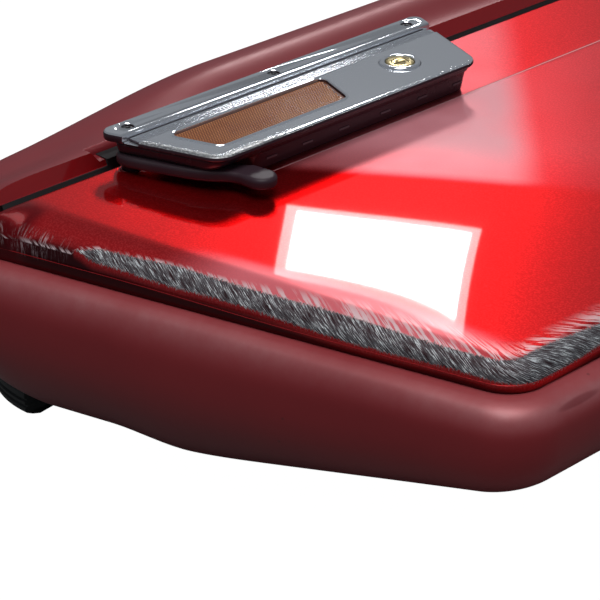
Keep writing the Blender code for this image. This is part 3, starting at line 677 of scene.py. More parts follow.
def make_materials():
    return {
        "lid": lid_paint(),
        "lid_plain": plain_paint(),
        "case": case_paint(),
        "tub": black_plastic("tub_black", (0.020, 0.023, 0.023), 900.0, 0.4),
        "rubber": black_plastic("seal_rubber", (0.014, 0.014, 0.015), 1400.0, 0.15, 0.7),
        "bumper": black_plastic("bumper_black", (0.026, 0.029, 0.029), 700.0, 0.3, 0.62),
        "liner": black_plastic("liner_black", (0.022, 0.022, 0.024), 1000.0, 0.45, 0.6),
        "gloss": gloss_black("latch_black", 0.22),
        "satin": gloss_black("lever_black", 0.42),
        "dark_steel": plated("black_steel", (0.10, 0.10, 0.105), 0.42),
        "glint_grey": gloss_black("painted_glint_grey", 0.5, (0.16, 0.13, 0.15)),
        "chrome": chrome(),
        "worn_chrome": chrome("worn_chrome", worn=True),
        "amber": amber_plastic(),
        "steel": plated("plated_steel", (0.55, 0.56, 0.57), 0.36, (1.0, 6.0, 1.0)),
        "brass": plated("lock_brass", (0.68, 0.55, 0.28), 0.30),
    }


# ----------------------------------------------------------------- outer case
def wall_radii(offset):
    """Corner radii of the case wall, in the order of corner_points."""
    return (25 + offset * 0.6, 45 + offset * 0.6, 62 + offset * 0.5, 64 + offset * 0.8)


def wall_ring(offset, z):
    """Ring of the case wall at a distance out from the seam line."""
    lines = offset_lines(SEAM_LINES, offset, left=offset * 0.68)
    return ring(outline(lines, wall_radii(offset)), lambda x, y: z * depth_factor(x))


def mouth_outline(inset):
    """Outline of the opening under the lid."""
    lines = (*offset_lines(LID_LINES, -inset)[:5], LID_LEFT_X + 2.5)
    return outline(lines, (max(25 - inset, 6), max(45 - inset, 6), 10, 10))


def hood_ring(front, left, z):
    """Hood outline; away from the lip its height follows the panel's crown."""
    def rule(x, y):
        away = ease((HOOD_EDGE_X - 4 - x) / 34.0)
        rise = HOOD_FALL + HOOD_CROWN * ease((y + 60.0) / 190.0)
        return z + away * rise * max(z, 0.0) / HOOD_TOP
    return ring(outline(offset_lines(SEAM_LINES, front, left=left), wall_radii(front)), rule)


def make_hood():
    """Fixed top panel: a hood beside the lid, open underneath."""
    outside = ((16.5, 11.3, -22.0), (16.2, 11.6, -10.0), (14.5, 11.2, 0.0),
               (11.0, 9.8, 9.0), (6.0, 6.8, 17.5), (1.0, 1.8, 24.5), (-4.5, -4.5, 29.8),
               (-10.0, -13.0, 32.4), (-16.0, -24.0, 34.0), (-24.0, -36.0, HOOD_TOP))
    inside = ((13.0, 8.2, -24.0), (12.8, 8.4, -10.0), (11.2, 8.0, 0.0), (7.6, 6.4, 8.0),
              (1.6, 3.4, 14.0), (-8.0, -6.0, 17.5), (-18, -20, 19.5))
    rings = [hood_ring(*row) for row in spline(outside, 4)]
    for k in range(1, 8):
        rings.append(hood_ring(-24.0 - 2.0 * k, -36.0 - 2.75 * k, HOOD_TOP + 0.006 * k))
    crown = outline(offset_lines(SEAM_LINES, -40.0, left=-58.0), wall_radii(-40.0))
    rings.append(ring([Vector((max(p.x, HOOD_EDGE_X - 4), p.y)) for p in crown],
                      HOOD_TOP + 0.05))
    hood = loft("hood_block", rings)
    hollow = loft("hood_hollow",
                  [ring(outline(offset_lines(SEAM_LINES, front, left=left),
                                wall_radii(front)), z) for front, left, z in inside])
    hollow = combine(hollow, [
        box("hollow_limit", (HOOD_EDGE_X - 14.5, PAST_Y[0], -40),
            (PAST_X, PAST_Y[1], PAST_Z)),
        box("hollow_front_limit", (-420, PAST_Y[0], 1), (PAST_X, -35, PAST_Z))])
    undercut = ((HOOD_EDGE_X - 2, -40), (HOOD_EDGE_X + 1, -40),
                (HOOD_EDGE_X + 1, LIP_BOTTOM), (HOOD_EDGE_X - 2, LIP_BOTTOM - 1))
    chamfer = ((HOOD_EDGE_X + 1, LIP_BOTTOM - 0.6), (HOOD_EDGE_X + 1, HOOD_TOP + 4),
               (HOOD_EDGE_X - 5, HOOD_TOP + 4), (HOOD_EDGE_X - 3.8, HOOD_TOP - 0.2),
               (HOOD_EDGE_X - 0.1, LIP_BOTTOM + 0.3))
    return combine(hood, [
        hollow,
        box("lid_side", (HOOD_EDGE_X, PAST_Y[0], -40), (PAST_X, PAST_Y[1], PAST_Z)),
        box("hood_underside", (-364, -70, -40), (PAST_X, 430, -1.5)),
        slice_y("lip_undercut", undercut, *PAST_Y),
        slice_y("lip_chamfer", chamfer, *PAST_Y)])


def make_case(mats):
    """Case wall with its flange, joined to the hood, then notched for the latch."""
    rings = [ring(mouth_outline(FLANGE), 0.0)]
    rings += [wall_ring(o, z) for o, z in spline(WALL_PROFILE, 4)]
    rings += [wall_ring(o, z) for o, z in WALL_INSIDE]
    rings += [ring(mouth_outline(FLANGE), -WALL)]
    case = loft("case_shell", rings, mats["case"], capped=False)
    case = combine(case, [make_hood()], "UNION")
    notch = [(HOOD_EDGE_X - 11, HOOD_TOP + 4), (HOOD_EDGE_X - 10, NOTCH_Z + 0.4),
             (HOOD_EDGE_X + 4, NOTCH_Z), (HOOD_EDGE_X + 4, HOOD_TOP + 4)]
    wedge = loft("lip_notch", [
        [place(x, y + (0 if z < HOOD_TOP else -7 * side), z) for x, z in notch]
        for y, side in ((0.5, 1), (LATCH_LENGTH + 4.0, -1))])
    cutters = [box("hood_window", (-366, -30, -6), (-334, 425, 2)), wedge]
    for i, y in enumerate(HINGE_Y):
        cutters.append(rod_y(f"case_hinge_recess_{i + 1}", *HINGE_AXIS, y - 1,
                             y + HINGE_LENGTH + 1, 4.0))
    case = combine(case, cutters)
    repaint(case, mats["lid_plain"], lambda at, normal: (
        0.5 < normal.x < 0.97 and HOOD_EDGE_X - 4 < at.x < HOOD_EDGE_X
        and at.z > LIP_BOTTOM), smooth=False)
    stand_for(case, "case", "body_red", "outer_case_shell")


# ------------------------------------------------------------------ inner tub
# share of the way from rim to flat back: in plan, and in depth
TUB_STATIONS = ((0.0, 0.0), (0.3, 0.2), (0.62, 0.47), (0.86, 0.78), (0.955, 0.94),
                (1.0, 1.0))

TUB_FLOOR = (164.0, 0.51, -130.0, 395.0, -0.05, -368.0)   # lines of the flat back
TUB_FLOOR_RADII = (60.0, 55.0, 40.0, 42.0)


def tub_ring(t, thick):
    """Outline of the tub, from under the rim (t = 0) to the flat back (t = 1)."""
    top = offset_lines(SEAM_LINES, -9.0 - thick, left=0.68 * (-9.4 - thick))
    front, front_slope, right, rear, rear_slope, left = TUB_FLOOR
    floor = (front + thick, front_slope, right - thick, rear - thick, rear_slope,
             left + thick)
    lines = tuple(a + (b - a) * t for a, b in zip(top, floor))
    top_radii = tuple(r + 1.0 for r in wall_radii(-9.0 - thick))
    radii = tuple(a + (b - a) * t for a, b in zip(top_radii, TUB_FLOOR_RADII))
    return outline(lines, radii)


def tub_height(t, lift):
    """Rule for the height of a tub ring."""
    def rule(x, y):
        rim = -(RIM_DEPTH + 0.6) * depth_factor(x)
        return rim + (FLOOR_Z - rim) * t + lift
    return rule


def make_tub(mats):
    """Black inner shell: smooth from the rim down to its flat back."""
    stations = spline(TUB_STATIONS, 5)
    inside = [ring(tub_ring(plan, WALL), tub_height(deep, WALL))
              for plan, deep in reversed(stations)]
    outside = [ring(tub_ring(plan, 0.0), tub_height(deep, 0.0)) for plan, deep in stations]
    lip_in = ring(tub_ring(0.0, 4.2), tub_height(0.0, 12.0))
    lip_out = ring(tub_ring(0.0, 1.2), tub_height(0.0, 12.0))
    neck = ring(tub_ring(0.0, 1.2), tub_height(0.0, 2.0))
    tub = loft("tub_shell", inside + [lip_in, lip_out, neck] + outside, mats["tub"])
    stand_for(tub, "case", "tub_black", "inner_case_tub")


# ------------------------------------------------------------------------ lid
def lid_surface(x, y):
    """Top of the lid before its rolled edge."""
    z = LID_EDGE_Z - LID_RISE * x
    if x > CREASE_X:
        across = (x - CREASE_X) / (RIGHT_X - CREASE_X)
        along = (y + 70) / (REAR_Y + 70)
        z += LID_CROWN * math.sin(math.pi * clamp(across)) * math.sin(math.pi * clamp(along))
    return z


def lid_roll(x):
    """Width of the lid's rolled edge."""
    low, high = LID_ROLL
    return low + (high - low) * clamp(-x / -LID_LEFT_X)


def roll_depth(x):
    """Height of the lid's rolled edge; it is lower along the parting line."""
    full = min(0.8 * lid_roll(x), LID_EDGE_Z - LID_RISE * x - 4.0)
    return LEFT_ROLL + (full - LEFT_ROLL) * clamp((x - LID_LEFT_X - 4.0) / 9.0)


def lid_outline(inset, share=0.0):
    """Lid plan, moved in by `inset` and by `share` of the rolled edge."""
    low, high = (r * share for r in LID_ROLL)
    hypot_front, hypot_rear = math.hypot(1, FRONT_SLOPE), math.hypot(1, REAR_SLOPE)
    widen = (high - low) / -LID_LEFT_X
    lines = (FRONT_Y + (inset + low) * hypot_front, FRONT_SLOPE - widen * hypot_front,
             RIGHT_X - inset - low,
             REAR_Y - (inset + low) * hypot_rear, REAR_SLOPE + widen * hypot_rear,
             LID_LEFT_X + inset + LEFT_ROLL * share)
    radii = [max(r - inset - low, 2.0) for r in LID_RADII]
    return outline(lines, radii)


def lid_rings(thick, fine):
    """Rings of the lid: skirt, rolled edge, then the top."""
    base = lid_outline(0.5 + thick)
    rings = [ring(base, SKIRT_BOTTOM if fine else SKIRT_BOTTOM - 6)]
    if fine:
        rings.append(ring(base, 0.5 * (SKIRT_BOTTOM + 4.0)))
    steps = 30 if fine else 6
    for k in range(steps + 1):
        turn = 0.5 * math.pi * k / steps
        share, fall = 1 - math.cos(turn), 1 - math.sin(turn)
        rings.append(ring(lid_outline(0.5 + thick, share), lambda x, y, f=fall:
                          lid_surface(x, y) - roll_depth(x) * f - thick))
    middle = Vector(((LID_LEFT_X + RIGHT_X) / 2, (FRONT_Y + REAR_Y) / 2 - 20))
    last = lid_outline(0.5 + thick, 1.0)
    inner = [0.985, 0.97, 0.95] + [0.92 - 0.04 * k for k in range(23)] if fine else (
        0.8, 0.55, 0.3, 0.1)
    for share in inner:
        points = [middle.lerp(p, share) for p in last]
        rings.append(ring(points, lambda x, y: lid_surface(x, y) - thick))
    return rings


# the worn band runs round the lower front corner: its ends, measured along the
# edge from that corner, its height up the lid's section, and its width, which
# swells at the corner and wavers along the way
BAND_START, BAND_END = -268.0, 172.0
BAND_HEIGHT, BAND_FALL = 16.4, 4.4
BAND_WIDTH, BAND_SWELL, BAND_WAVE = 12.0, 3.0, 1.5

NO_BAND = -6.0                 # width past the band's ends
GRIT_SIZE, GRIT_DEPTH = 2.4, 0.32


def worn_band(along):
    """Lower and upper border of the worn band at a place along the edge."""
    middle = BAND_HEIGHT - BAND_FALL * ease((along + 220) / 180)
    opening = 0.65 * ease((along - BAND_START) / 16) + 0.35 * ease((along + 240) / 45)
    closing = 1 - ease((along - 30) / (BAND_END - 30))
    width = BAND_WIDTH * opening * closing
    width += BAND_SWELL * math.exp(-((along - 18) / 24) ** 2)
    width += BAND_WAVE * math.sin(along / 21) * opening * closing
    if not BAND_START < along < BAND_END:
        width = NO_BAND
    return middle - width / 2, middle + width / 2


def trim_values(rings):
    """Per ring vertex: distance along the edge, above the band and below it."""
    count = len(rings[0])
    base = rings[0]
    steps = [(base[(i + 1) % count] - base[i]).length / MM for i in range(count)]
    total = sum(steps)
    corner = sum(steps[:ARC_STEPS]) / 2
    along, at = [], -corner
    for step in steps:
        along.append(at if at < total / 2 else at - total)
        at += step
    # the count starts at the corner's own arc, so the front side is negative
    values = []
    height = [0.0] * count
    for k, points in enumerate(rings):
        row = []
        for i, point in enumerate(points):
            if k:
                height[i] += (point - rings[k - 1][i]).length / MM
            low, high = worn_band(along[i])
            row.append((along[i], height[i] - high, low - height[i]))
        values.append(row)
    return values


def make_lid(mats):
    """Lid shell with a roughened worn band and a crease along the latch's pad."""
    rings = lid_rings(0.0, fine=True)
    values = trim_values(rings)
    for row, marks in zip(rings, values):
        for point, (along, above, below) in zip(row, marks):
            if max(above, below) < 0:
                grit = noise.noise(point / (GRIT_SIZE * MM)) - 0.2
                point.z += GRIT_DEPTH * MM * grit * min(-max(above, below), 1.5)
    bm = loft_mesh(rings)
    layer = bm.verts.layers.float_vector.new("trim")
    bm.verts.ensure_lookup_table()
    flat = [value for row in values for value in row]
    for vert, value in zip(bm.verts, flat):
        vert[layer] = value
    lid = new_object("lid_skin", bm, mats["lid"])
    cutters = [loft("lid_hollow", lid_rings(WALL, fine=False)),
               turned("lid_lever_hole", LEVER_PIVOT, ((5.6, 8), (5.6, 34))),
               box("lid_skirt_cut", (LID_LEFT_X - 2, -76, -8), (LID_LEFT_X + 7.0, 458, 4.2)),
               turned("lid_lock_hole", LOCK_AT, ((9.6, 10), (9.6, 34)))]
    for i, y in enumerate(HINGE_Y):
        cutters.append(box(f"lid_hinge_notch_{i + 1}", (-7, y - 1, -2),
                           (RIGHT_X + 3, y + HINGE_LENGTH + 1, 5.2)))
    lid = combine(lid, cutters)
    crease_lid(lid)
    stand_for(lid, "lid", "lid_red", "lid_shell")
    make_skirt_bead(mats, rings)


BEAD_Z, BEAD_RISE, BEAD_RADIUS = 4.9, 2.4, 0.2


def make_skirt_bead(mats, rings):
    """Fine raised line along the skirt, half sunk into the paint."""
    count = len(rings[0])
    first = 3 * ARC_STEPS + 2 + sum(SIDE_STEPS[1:])      # end of the top side
    loops = []
    for k in range(first, first + count - SIDE_STEPS[3] - ARC_STEPS - 4):
        i = k % count
        x = datum(rings[0][i]).x
        wanted = place(0, 0, BEAD_Z + BEAD_RISE * ease((-110.0 - x) / 130.0)).z
        row = next(j for j, points in enumerate(rings) if points[i].z > wanted)
        low, high = rings[row - 1][i], rings[row][i]
        share = (wanted - low.z) / (high.z - low.z)
        centre = low.lerp(high, share)
        ahead = (rings[row][(i + 1) % count] - rings[row][i - 1]).normalized()
        side = ahead.cross((high - low).normalized())
        rise = side.cross(ahead)
        loops.append([centre + BEAD_RADIUS * MM * (side * math.cos(a) + rise * math.sin(a))
                      for a in (math.tau * j / 8 for j in range(8))])
    bead = loft("skirt_bead", loops, mats["lid_plain"])
    stand_for(bead, "lid", "lid_red")


CREASE_HEIGHT = 0.22


def crease_lid(lid):
    """Cut a clean edge into the lid's top along the pad under the latch."""
    bm = bmesh.new()
    bm.from_mesh(lid.data)
    for offset in (-1.4, -0.5, 0.0, 0.5, 1.4):
        bmesh.ops.bisect_plane(bm, geom=bm.verts[:] + bm.edges[:] + bm.faces[:],
                               plane_co=place(CREASE_X + offset, 0, 0), plane_no=(1, 0, 0),
                               dist=1e-7)
    start, end = CREASE_START
    for vert in bm.verts:
        at = datum(vert.co)
        away = abs(at.x - CREASE_X)
        if away < 1.0 and at.z > lid_surface(at.x, at.y) - 1.0:
            grown = ease((at.y - start) / (end - start))
            vert.co.z += CREASE_HEIGHT * MM * (1 - away) * grown
    bm.to_mesh(lid.data)
    bm.free()


def make_liner(mats):
    """Moulded inner panel with a raised border."""
    def liner_outline(inset):
        lines = (*offset_lines(LID_LINES, -9.8 - inset)[:5], -284.0 + inset)
        return outline(lines, (max(15 - inset, 3), max(34 - inset, 3), 8, 8),
                       10, (40, 40, 30, 40))

    section = ((24.0, 6.2), (21.5, 6.0), (20.0, 4.6), (5.6, 4.5), (4.6, 4.25), (3.2, 4.2),
               (1.0, 4.2), (0.3, 4.5), (0.0, 5.2), (0.0, 8.4))
    liner = loft("liner_panel", [ring(liner_outline(i), z) for i, z in section],
                 mats["liner"])
    stand_for(liner, "lid", "liner_black", "lid_liner")


def make_seal(mats):
    """Rubber seal around the mouth, with a rounded lip."""
    def seal_outline(inset, left):
        lines = (*offset_lines(LID_LINES, -inset)[:5], left)
        return outline(lines, (max(26 - inset, 4), max(46 - inset, 4), 7, 7),
                       12, (60, 50, 40, 60))

    section = ((9.6, GAP_Z), (9.6, 2.4), (10.2, 3.4), (11.4, 3.8), (12.8, 3.8), (13.9, 3.3),
               (14.4, 2.2), (14.4, GAP_Z))
    rings = [ring(seal_outline(inset, -316.0 + (inset - 9.6) * 0.85), z)
             for inset, z in section]
    seal = loft("seal_lip", rings, mats["rubber"], capped=False)
    stand_for(seal, "case", "seal_rubber", "mouth_seal")


def make_gap_seal(mats):
    """Black rubber wall that closes the gap beside the fixed top panel, and a black rubber pad
    under the latch's front end whose black stands in for the shade there.
    """
    profile = ((-319.2, 4.2), (-312.6, 4.2), (-312.6, 17.5), (-313.4, 19.6),
               (-315.4, 22.2), (-316.9, 25.2), (-319.2, 25.5))
    seal = slice_y("gap_seal", profile, -72.0, 455.0, mats["rubber"])
    # black rubber pad: its black partly stands in for the shade under the latch's front end
    shade_pad = box("latch_shade_pad", (-327.0, 5.0, 24.0), (-316.6, LATCH_LENGTH, NOTCH_Z + 0.9))
    seal = combine(seal, [shade_pad], "UNION")
    stand_for(seal, "case", "seal_rubber")


# ---------------------------------------------------------------------- latch
def latch_outline(left, right, start, end, radii, arc_steps=12, side_steps=(24, 40, 24, 40)):
    """Plan of a latch piece; start and end are its ends at X = LATCH_ENDS_X."""
    reach = LATCH_SLOPE * LATCH_ENDS_X
    lines = (start - reach, LATCH_SLOPE, right, end + reach, -LATCH_SLOPE, left)
    return outline(lines, radii, arc_steps, side_steps)


WALL_GLINTS = (67.0, 96.0, 126.0, 161.0, 193.0, 224.0)      # painted reflections on the base's wall: where each starts along Y


def make_latch_base(mats):
    """Glossy block under the bezel, with a rounded brow and painted reflections on its wall."""
    section = ((-308.0, -252.0, 5.0, 0.35, None), (-308.5, -251.0, 4.5, 1.2, None),
               (-309.0, -249.2, 3.8, 0.0, 33.0), (-309.2, -248.4, 3.4, 0.0, 37.0),
               (-309.4, -246.6, 3.0, 0.0, 39.0), (-309.5, -245.4, 2.5, 0.0, 40.8),
               (-309.5, -245.2, 2.4, 0.0, 42.2), (-309.5, -246.2, 2.9, 0.0, 43.0),
               (-309.5, -247.4, 3.4, 0.0, BEZEL_BOTTOM - 0.3))
    rings = []
    for left, right, start, lift, z in section:
        plan = latch_outline(left, right, start, LATCH_LENGTH - start, (10, 10, 4, 4))
        rings.append(ring(plan, z or (lambda x, y, lift=lift: lid_surface(x, y) + lift)))
    base = loft("latch_block", rings, mats["gloss"])
    front = [(-330, -40), (-230, -40), (-230, 36 + LATCH_SLOPE * 80),
             (-330, 36 + LATCH_SLOPE * -20)]
    cutters = [prism("lever_slot", front, 20, LEVER_Z[1] + 0.5),
               turned("base_lock_hole", LOCK_AT, ((9.8, 10), (9.8, 50))),
               turned("base_pin_hole", LEVER_PIVOT, ((2.4, 30), (2.4, 41.0)))]
    # pale boxes on the wall: painted reflections
    for i, y in enumerate(WALL_GLINTS):
        glint = box(f"wall_glint_{i + 1}", (-252.0, y, 31.4), (-248.9, y + 8.0, 32.5),
                   mats["glint_grey"])
        stand_for(glint, "lid", "satin_black")
    stand_for(combine(base, cutters), "lid", "satin_black", "latch_base")


WEAR_Y, WEAR_REACH = 22.0, 9.5     # pitted plating: middle along Y, width from the edge


def make_bezel(mats):
    """Chrome frame around the reflector, its near corner worn and pitted."""
    section = ((1.5, BEZEL_BOTTOM), (0.4, BEZEL_BOTTOM + 0.3), (0.0, BEZEL_BOTTOM + 0.9),
               (0.0, BEZEL_BOTTOM + 1.5), (0.35, BEZEL_TOP - 0.7), (1.2, BEZEL_TOP - 0.15),
               (2.4, BEZEL_TOP))
    rings = []
    for inset, z in section:
        plan = latch_outline(PLATE_RIGHT + 0.4, LATCH_RIGHT - inset, inset,
                             LATCH_LENGTH - inset, (14 - inset, 14 - inset, 1.5, 1.5), 20,
                             (60, 140, 60, 40))
        rings.append(ring(plan, z))
    last = latch_outline(PLATE_RIGHT + 0.4, LATCH_RIGHT - 2.4, 2.4, LATCH_LENGTH - 2.4,
                         (11.6, 11.6, 1.5, 1.5), 20, (60, 140, 60, 40))
    middle = Vector((-271.0, 131.0))
    for share in (0.985, 0.95, 0.9, 0.82, 0.7, 0.55, 0.4):
        rings.append(ring([middle.lerp(p, share) for p in last], BEZEL_TOP))
    bm = loft_mesh(rings)
    layer = bm.verts.layers.float_vector.new("trim")
    for vert in bm.verts:
        at = datum(vert.co)
        front = at.y - LATCH_SLOPE * (at.x - LATCH_ENDS_X)
        edge = min(front, LATCH_RIGHT - at.x)
        fade = 1.0 if at.y < WEAR_Y else 0.55
        near = 1 - ease((abs(at.y - WEAR_Y) - 18.0) / 60.0) * fade
        vert[layer] = (clamp(near * (1.0 - edge / WEAR_REACH)), 0.0, 0.0)
    bezel = new_object("bezel_frame", bm, mats["worn_chrome"])
    left, right, start, end = LENS
    window = latch_outline(left, right, start, end, LENS_RADII)
    bezel = combine(bezel, [box("rib_channel", (PLATE_RIGHT - 3, -30, 44.8),
                                (CHANNEL_RIGHT, 300, 60)),
                            prism("lens_window", window, 38, 60),
                            turned("bezel_lock_hole", LOCK_AT, ((13.0, 38), (13.0, 60)))])
    bevel(bezel, 0.35, 2)
    # the chrome's lower front and far-end faces take gloss black: painted dark reflection on
    # the chrome
    repaint(bezel, mats["gloss"], lambda at, normal: at.z < BEZEL_TOP - 0.9 and (
        at.x > LATCH_RIGHT - 8 or normal.y < -0.5))
    stand_for(bezel, "lid", "chrome", "latch_bezel")
    rings = []
    for out, lift in ((0.0, -0.8), (0.1, 0.2), (0.5, 0.65), (1.1, 0.75), (1.7, 0.45),
                      (2.1, -0.1)):
        plan = latch_outline(left - out, right + out, start - out, end + out,
                             [radius + out for radius in LENS_RADII])
        rings.append(ring(plan, BEZEL_TOP + lift))
    bead = loft("window_bead", rings, mats["chrome"], capped=False)
    stand_for(bead, "lid", "chrome")


def make_top_plate(mats):
    """Raised chrome bar along the top, with three recessed socket screws."""
    section = ((1.6, BEZEL_BOTTOM), (0.4, BEZEL_BOTTOM + 0.4), (0.0, BEZEL_BOTTOM + 1.2),
               (0.0, PLATE_TOP - 2.2), (0.3, PLATE_TOP - 1.1), (1.1, PLATE_TOP - 0.3),
               (2.4, PLATE_TOP))
    rings = []
    for inset, z in section:
        plan = latch_outline(LATCH_LEFT + inset, PLATE_RIGHT - 0.4 * inset, inset,
                             LATCH_LENGTH - inset, (1.5, 1.5, 6.5 - inset, 6.5 - inset))
        rings.append(ring(plan, z))
    plate = loft("top_bar", rings, mats["chrome"])
    cutters = [turned(f"screw_recess_{i + 1}", (SCREW_X, y),
                      ((2.1, 40), (2.1, 46.2), (3.9, 46.2), (3.9, 48.6), (4.8, 49.6),
                       (4.8, 52)))
               for i, y in enumerate(SCREW_Y)]
    plate = combine(plate, cutters)
    # the bar's lower front faces take gloss black: painted dark reflection on the chrome
    repaint(plate, mats["gloss"], lambda at, normal: at.z < PLATE_TOP - 1.5 and normal.y < -0.3)
    stand_for(plate, "lid", "chrome", "latch_top_plate")
    for i, y in enumerate(SCREW_Y):
        head = turned(f"socket_screw_{i + 1}", (SCREW_X, y),
                      ((1.7, 44.2), (1.7, 46.5), (3.5, 46.5), (3.6, 47.2), (3.4, 47.7),
                       (2.9, 48.0), (1.9, 48.05)), mats["dark_steel"])
        head = combine(head, [prism(f"screw_socket_{i + 1}", circle((SCREW_X, y), 1.5, 6),
                                    46.8, 50)])
        stand_for(head, "lid", "steel", f"plate_screw_{i + 1}")


RIB_COUNT = 5


def make_ribs(mats):
    """Fluted strip between the bar and the bezel: bright ribs on a black base."""
    left, right = PLATE_RIGHT + 0.8, CHANNEL_RIGHT - 0.4
    base = slice_y("rib_base", ((left, 45.1), (right, 45.1), (right, 45.75), (left, 45.75)),
                   8.0, LATCH_LENGTH - 8.0, mats["gloss"])
    stand_for(base, "lid", "satin_black", "ribbed_insert")
    pitch = (right - left) / RIB_COUNT
    for k in range(RIB_COUNT):
        x = left + (k + 0.5) * pitch
        rib = rod_y(f"chrome_rib_{k + 1}", x, 45.95, 8.6, LATCH_LENGTH - 8.6, 0.32 * pitch,
                    mats["chrome"], 16)
        stand_for(rib, "lid", "chrome")


def make_reflector(mats):
    """Amber lens whose face is a field of small pyramids."""
    left, right, start, end = LENS
    plan = latch_outline(left + 0.4, right - 0.4, start + 0.5, end - 0.5,
                         (4.6, 4.6, 2.1, 2.1))
    body = loft("lens_body", [ring(plan, z) for z in (BEZEL_BOTTOM + 0.1, 45.85)],
                mats["amber"])
    stand_for(body, "lid", "amber_lens", "amber_reflector")
    pitch, half = PRISM_PITCH, 0.47 * PRISM_PITCH
    bm = bmesh.new()
    for i in range(int((right - left - 2.6) / pitch)):
        x = left + 1.6 + pitch * (i + 0.5)
        front = start + LATCH_SLOPE * (x - LATCH_ENDS_X) + 1.8
        rear = end - LATCH_SLOPE * (x - LATCH_ENDS_X) - 1.8
        near = 3.2 * ease((x - (right - 5.0)) / 4.0)
        for j in range(int((rear - front - 2 * near) / pitch)):
            y = front + near + pitch * (j + 0.5)
            corners = [bm.verts.new(place(x + a * half, y + b * half, PRISM_FOOT))
                       for a, b in ((-1, -1), (1, -1), (1, 1), (-1, 1))]
            tip = bm.verts.new(place(x, y, PRISM_TIP))
            bm.faces.new(corners[::-1])
            for a, b in zip(corners, corners[1:] + corners[:1]):
                bm.faces.new((a, b, tip))
    prisms = new_object("lens_prisms", bm, mats["amber"], 20.0)
    stand_for(prisms, "lid", "amber_lens")


def make_lock(mats):
    """Chrome collar, and a brass plug with its key slot."""
    collar = turned("lock_collar", LOCK_AT,
                    ((12.6, BEZEL_BOTTOM + 0.1), (12.6, 47.2), (12.2, 48.0), (11.4, 48.5),
                     (10.6, 48.6), (9.9, 48.5), (9.3, 48.0), (9.2, 47.4),
                     (9.2, BEZEL_BOTTOM + 0.1)), mats["chrome"], capped=False)
    stand_for(collar, "lid", "chrome", "lock_escutcheon")
    plug = turned("key_plug", LOCK_AT,
                  ((7.5, 16.0), (7.5, 40), (8.7, 40.0), (8.7, 47.0), (8.4, 47.6), (7.8, 47.9),
                   (5.6, 47.95), (5.2, 47.6), (4.9, 47.55)), mats["brass"])
    slot = box("key_slot", (LOCK_AT[0] - 0.9, LOCK_AT[1] - 4.2, 41),
               (LOCK_AT[0] + 0.9, LOCK_AT[1] + 4.2, 50))
    stand_for(combine(plug, [slot]), "key_cylinder", "lock_brass", "lock_cylinder")


def make_lever(mats):
    """Finger lever: slim arm, round tab, soft edges all round."""
    near = [(-297.0, 3.6), (-280.0, 9.8), (-262.0, 17.2), (-250.0, 24.2), (-243.0, 30.4),
            (-234.0, 34.4)]
    tab_centre, tab_r = Vector((-228.0, 42.6)), 9.0
    tab = [tab_centre + tab_r * Vector((math.cos(a), math.sin(a)))
           for a in (math.radians(-80 + 10 * k) for k in range(19))]
    back = [(-240.5, 49.5), (-249.0, 42.0), (-262.0, 32.5), (-278.0, 26.0), (-292.0, 21.5)]
    hub = Vector(LEVER_PIVOT)
    turn = [hub + 8.2 * Vector((math.cos(a), math.sin(a)))
            for a in (math.radians(70 + 14 * k) for k in range(15))]
    plan = spline(near, 4)[:-1] + tab + spline(back, 4) + turn
    low, high = LEVER_Z
    normals = []
    for i in range(len(plan)):
        along = plan[(i + 1) % len(plan)] - plan[i - 1]
        normals.append(Vector((-along.y, along.x)).normalized())
    angles = [0.5 * math.pi * k / 8 for k in range(9)]
    quarter = [(LEVER_ROUND * (1 - math.sin(a)), LEVER_ROUND * (1 - math.cos(a)))
               for a in angles]
    section = [(inset, low + rise) for inset, rise in quarter]
    section += [(inset, high - fall) for fall, inset in quarter]
    rings = [[place(*(p + n * inset), z) for p, n in zip(plan, normals)]
             for inset, z in section]
    lever = loft("finger_lever", rings, mats["satin"])
    lever = combine(lever, [turned("lever_hub", LEVER_PIVOT, ((5.0, 17.5), (5.0, 31.5)))],
                    "UNION")
    lever = combine(lever, [turned("lever_pin_bore", LEVER_PIVOT, ((2.4, 12), (2.4, 40)))])
    stand_for(lever, "lever", "satin_black", "latch_lever")


# ------------------------------------------------------------------- hardware
def make_bumpers(mats):
    """Ribbed rubber guards that wrap the two top corners below the red rim."""
    section = ((-14.0, -101.3), (-11.5, -101.5), (-9.4, -100.8), (-8.8, -99.0), (-8.9, -97.6),
               (-9.7, -97.0), (-9.7, -96.0), (-8.8, -95.3), (-8.7, -93.6), (-9.6, -93.0),
               (-9.6, -92.0), (-8.7, -91.3), (-8.6, -88.5), (-9.4, -86.7), (-11.0, -86.0),
               (-14.0, -86.1))
    inner = outline(offset_lines(SEAM_LINES, -40.0, left=-32.0), (12, 20, 30, 40))
    corner_d = 2 * (ARC_STEPS + 1) + SIDE_STEPS[1] + SIDE_STEPS[2] - 2
    corner_a = corner_d + ARC_STEPS + 1 + SIDE_STEPS[3] - 1
    for name, first in (("front", corner_a - 3), ("rear", corner_d + 3)):
        span = [(first + k) % len(inner) for k in range(ARC_STEPS + 1)]
        loops = []
        for offset, z in section:
            lines = offset_lines(SEAM_LINES, offset, left=offset + 8.6)
            outer = outline(lines, (20, 40, 60, 68))
            loops.append(ring([outer[i] for i in span] + [inner[i] for i in reversed(span)],
                              z))
        bumper = loft(f"corner_guard_{name}", loops, mats["bumper"])
        rings = [ring(tub_ring(plan, -0.35), tub_height(deep, -0.35))
                 for plan, deep in TUB_STATIONS]
        rings.insert(0, ring(tub_ring(0.0, -0.35), -40.0))
        bumper = combine(bumper, [loft(f"tub_clearance_{name}", rings)], solver="MANIFOLD")
        stand_for(bumper, "case", "bumper_black", f"corner_bumper_{name}")


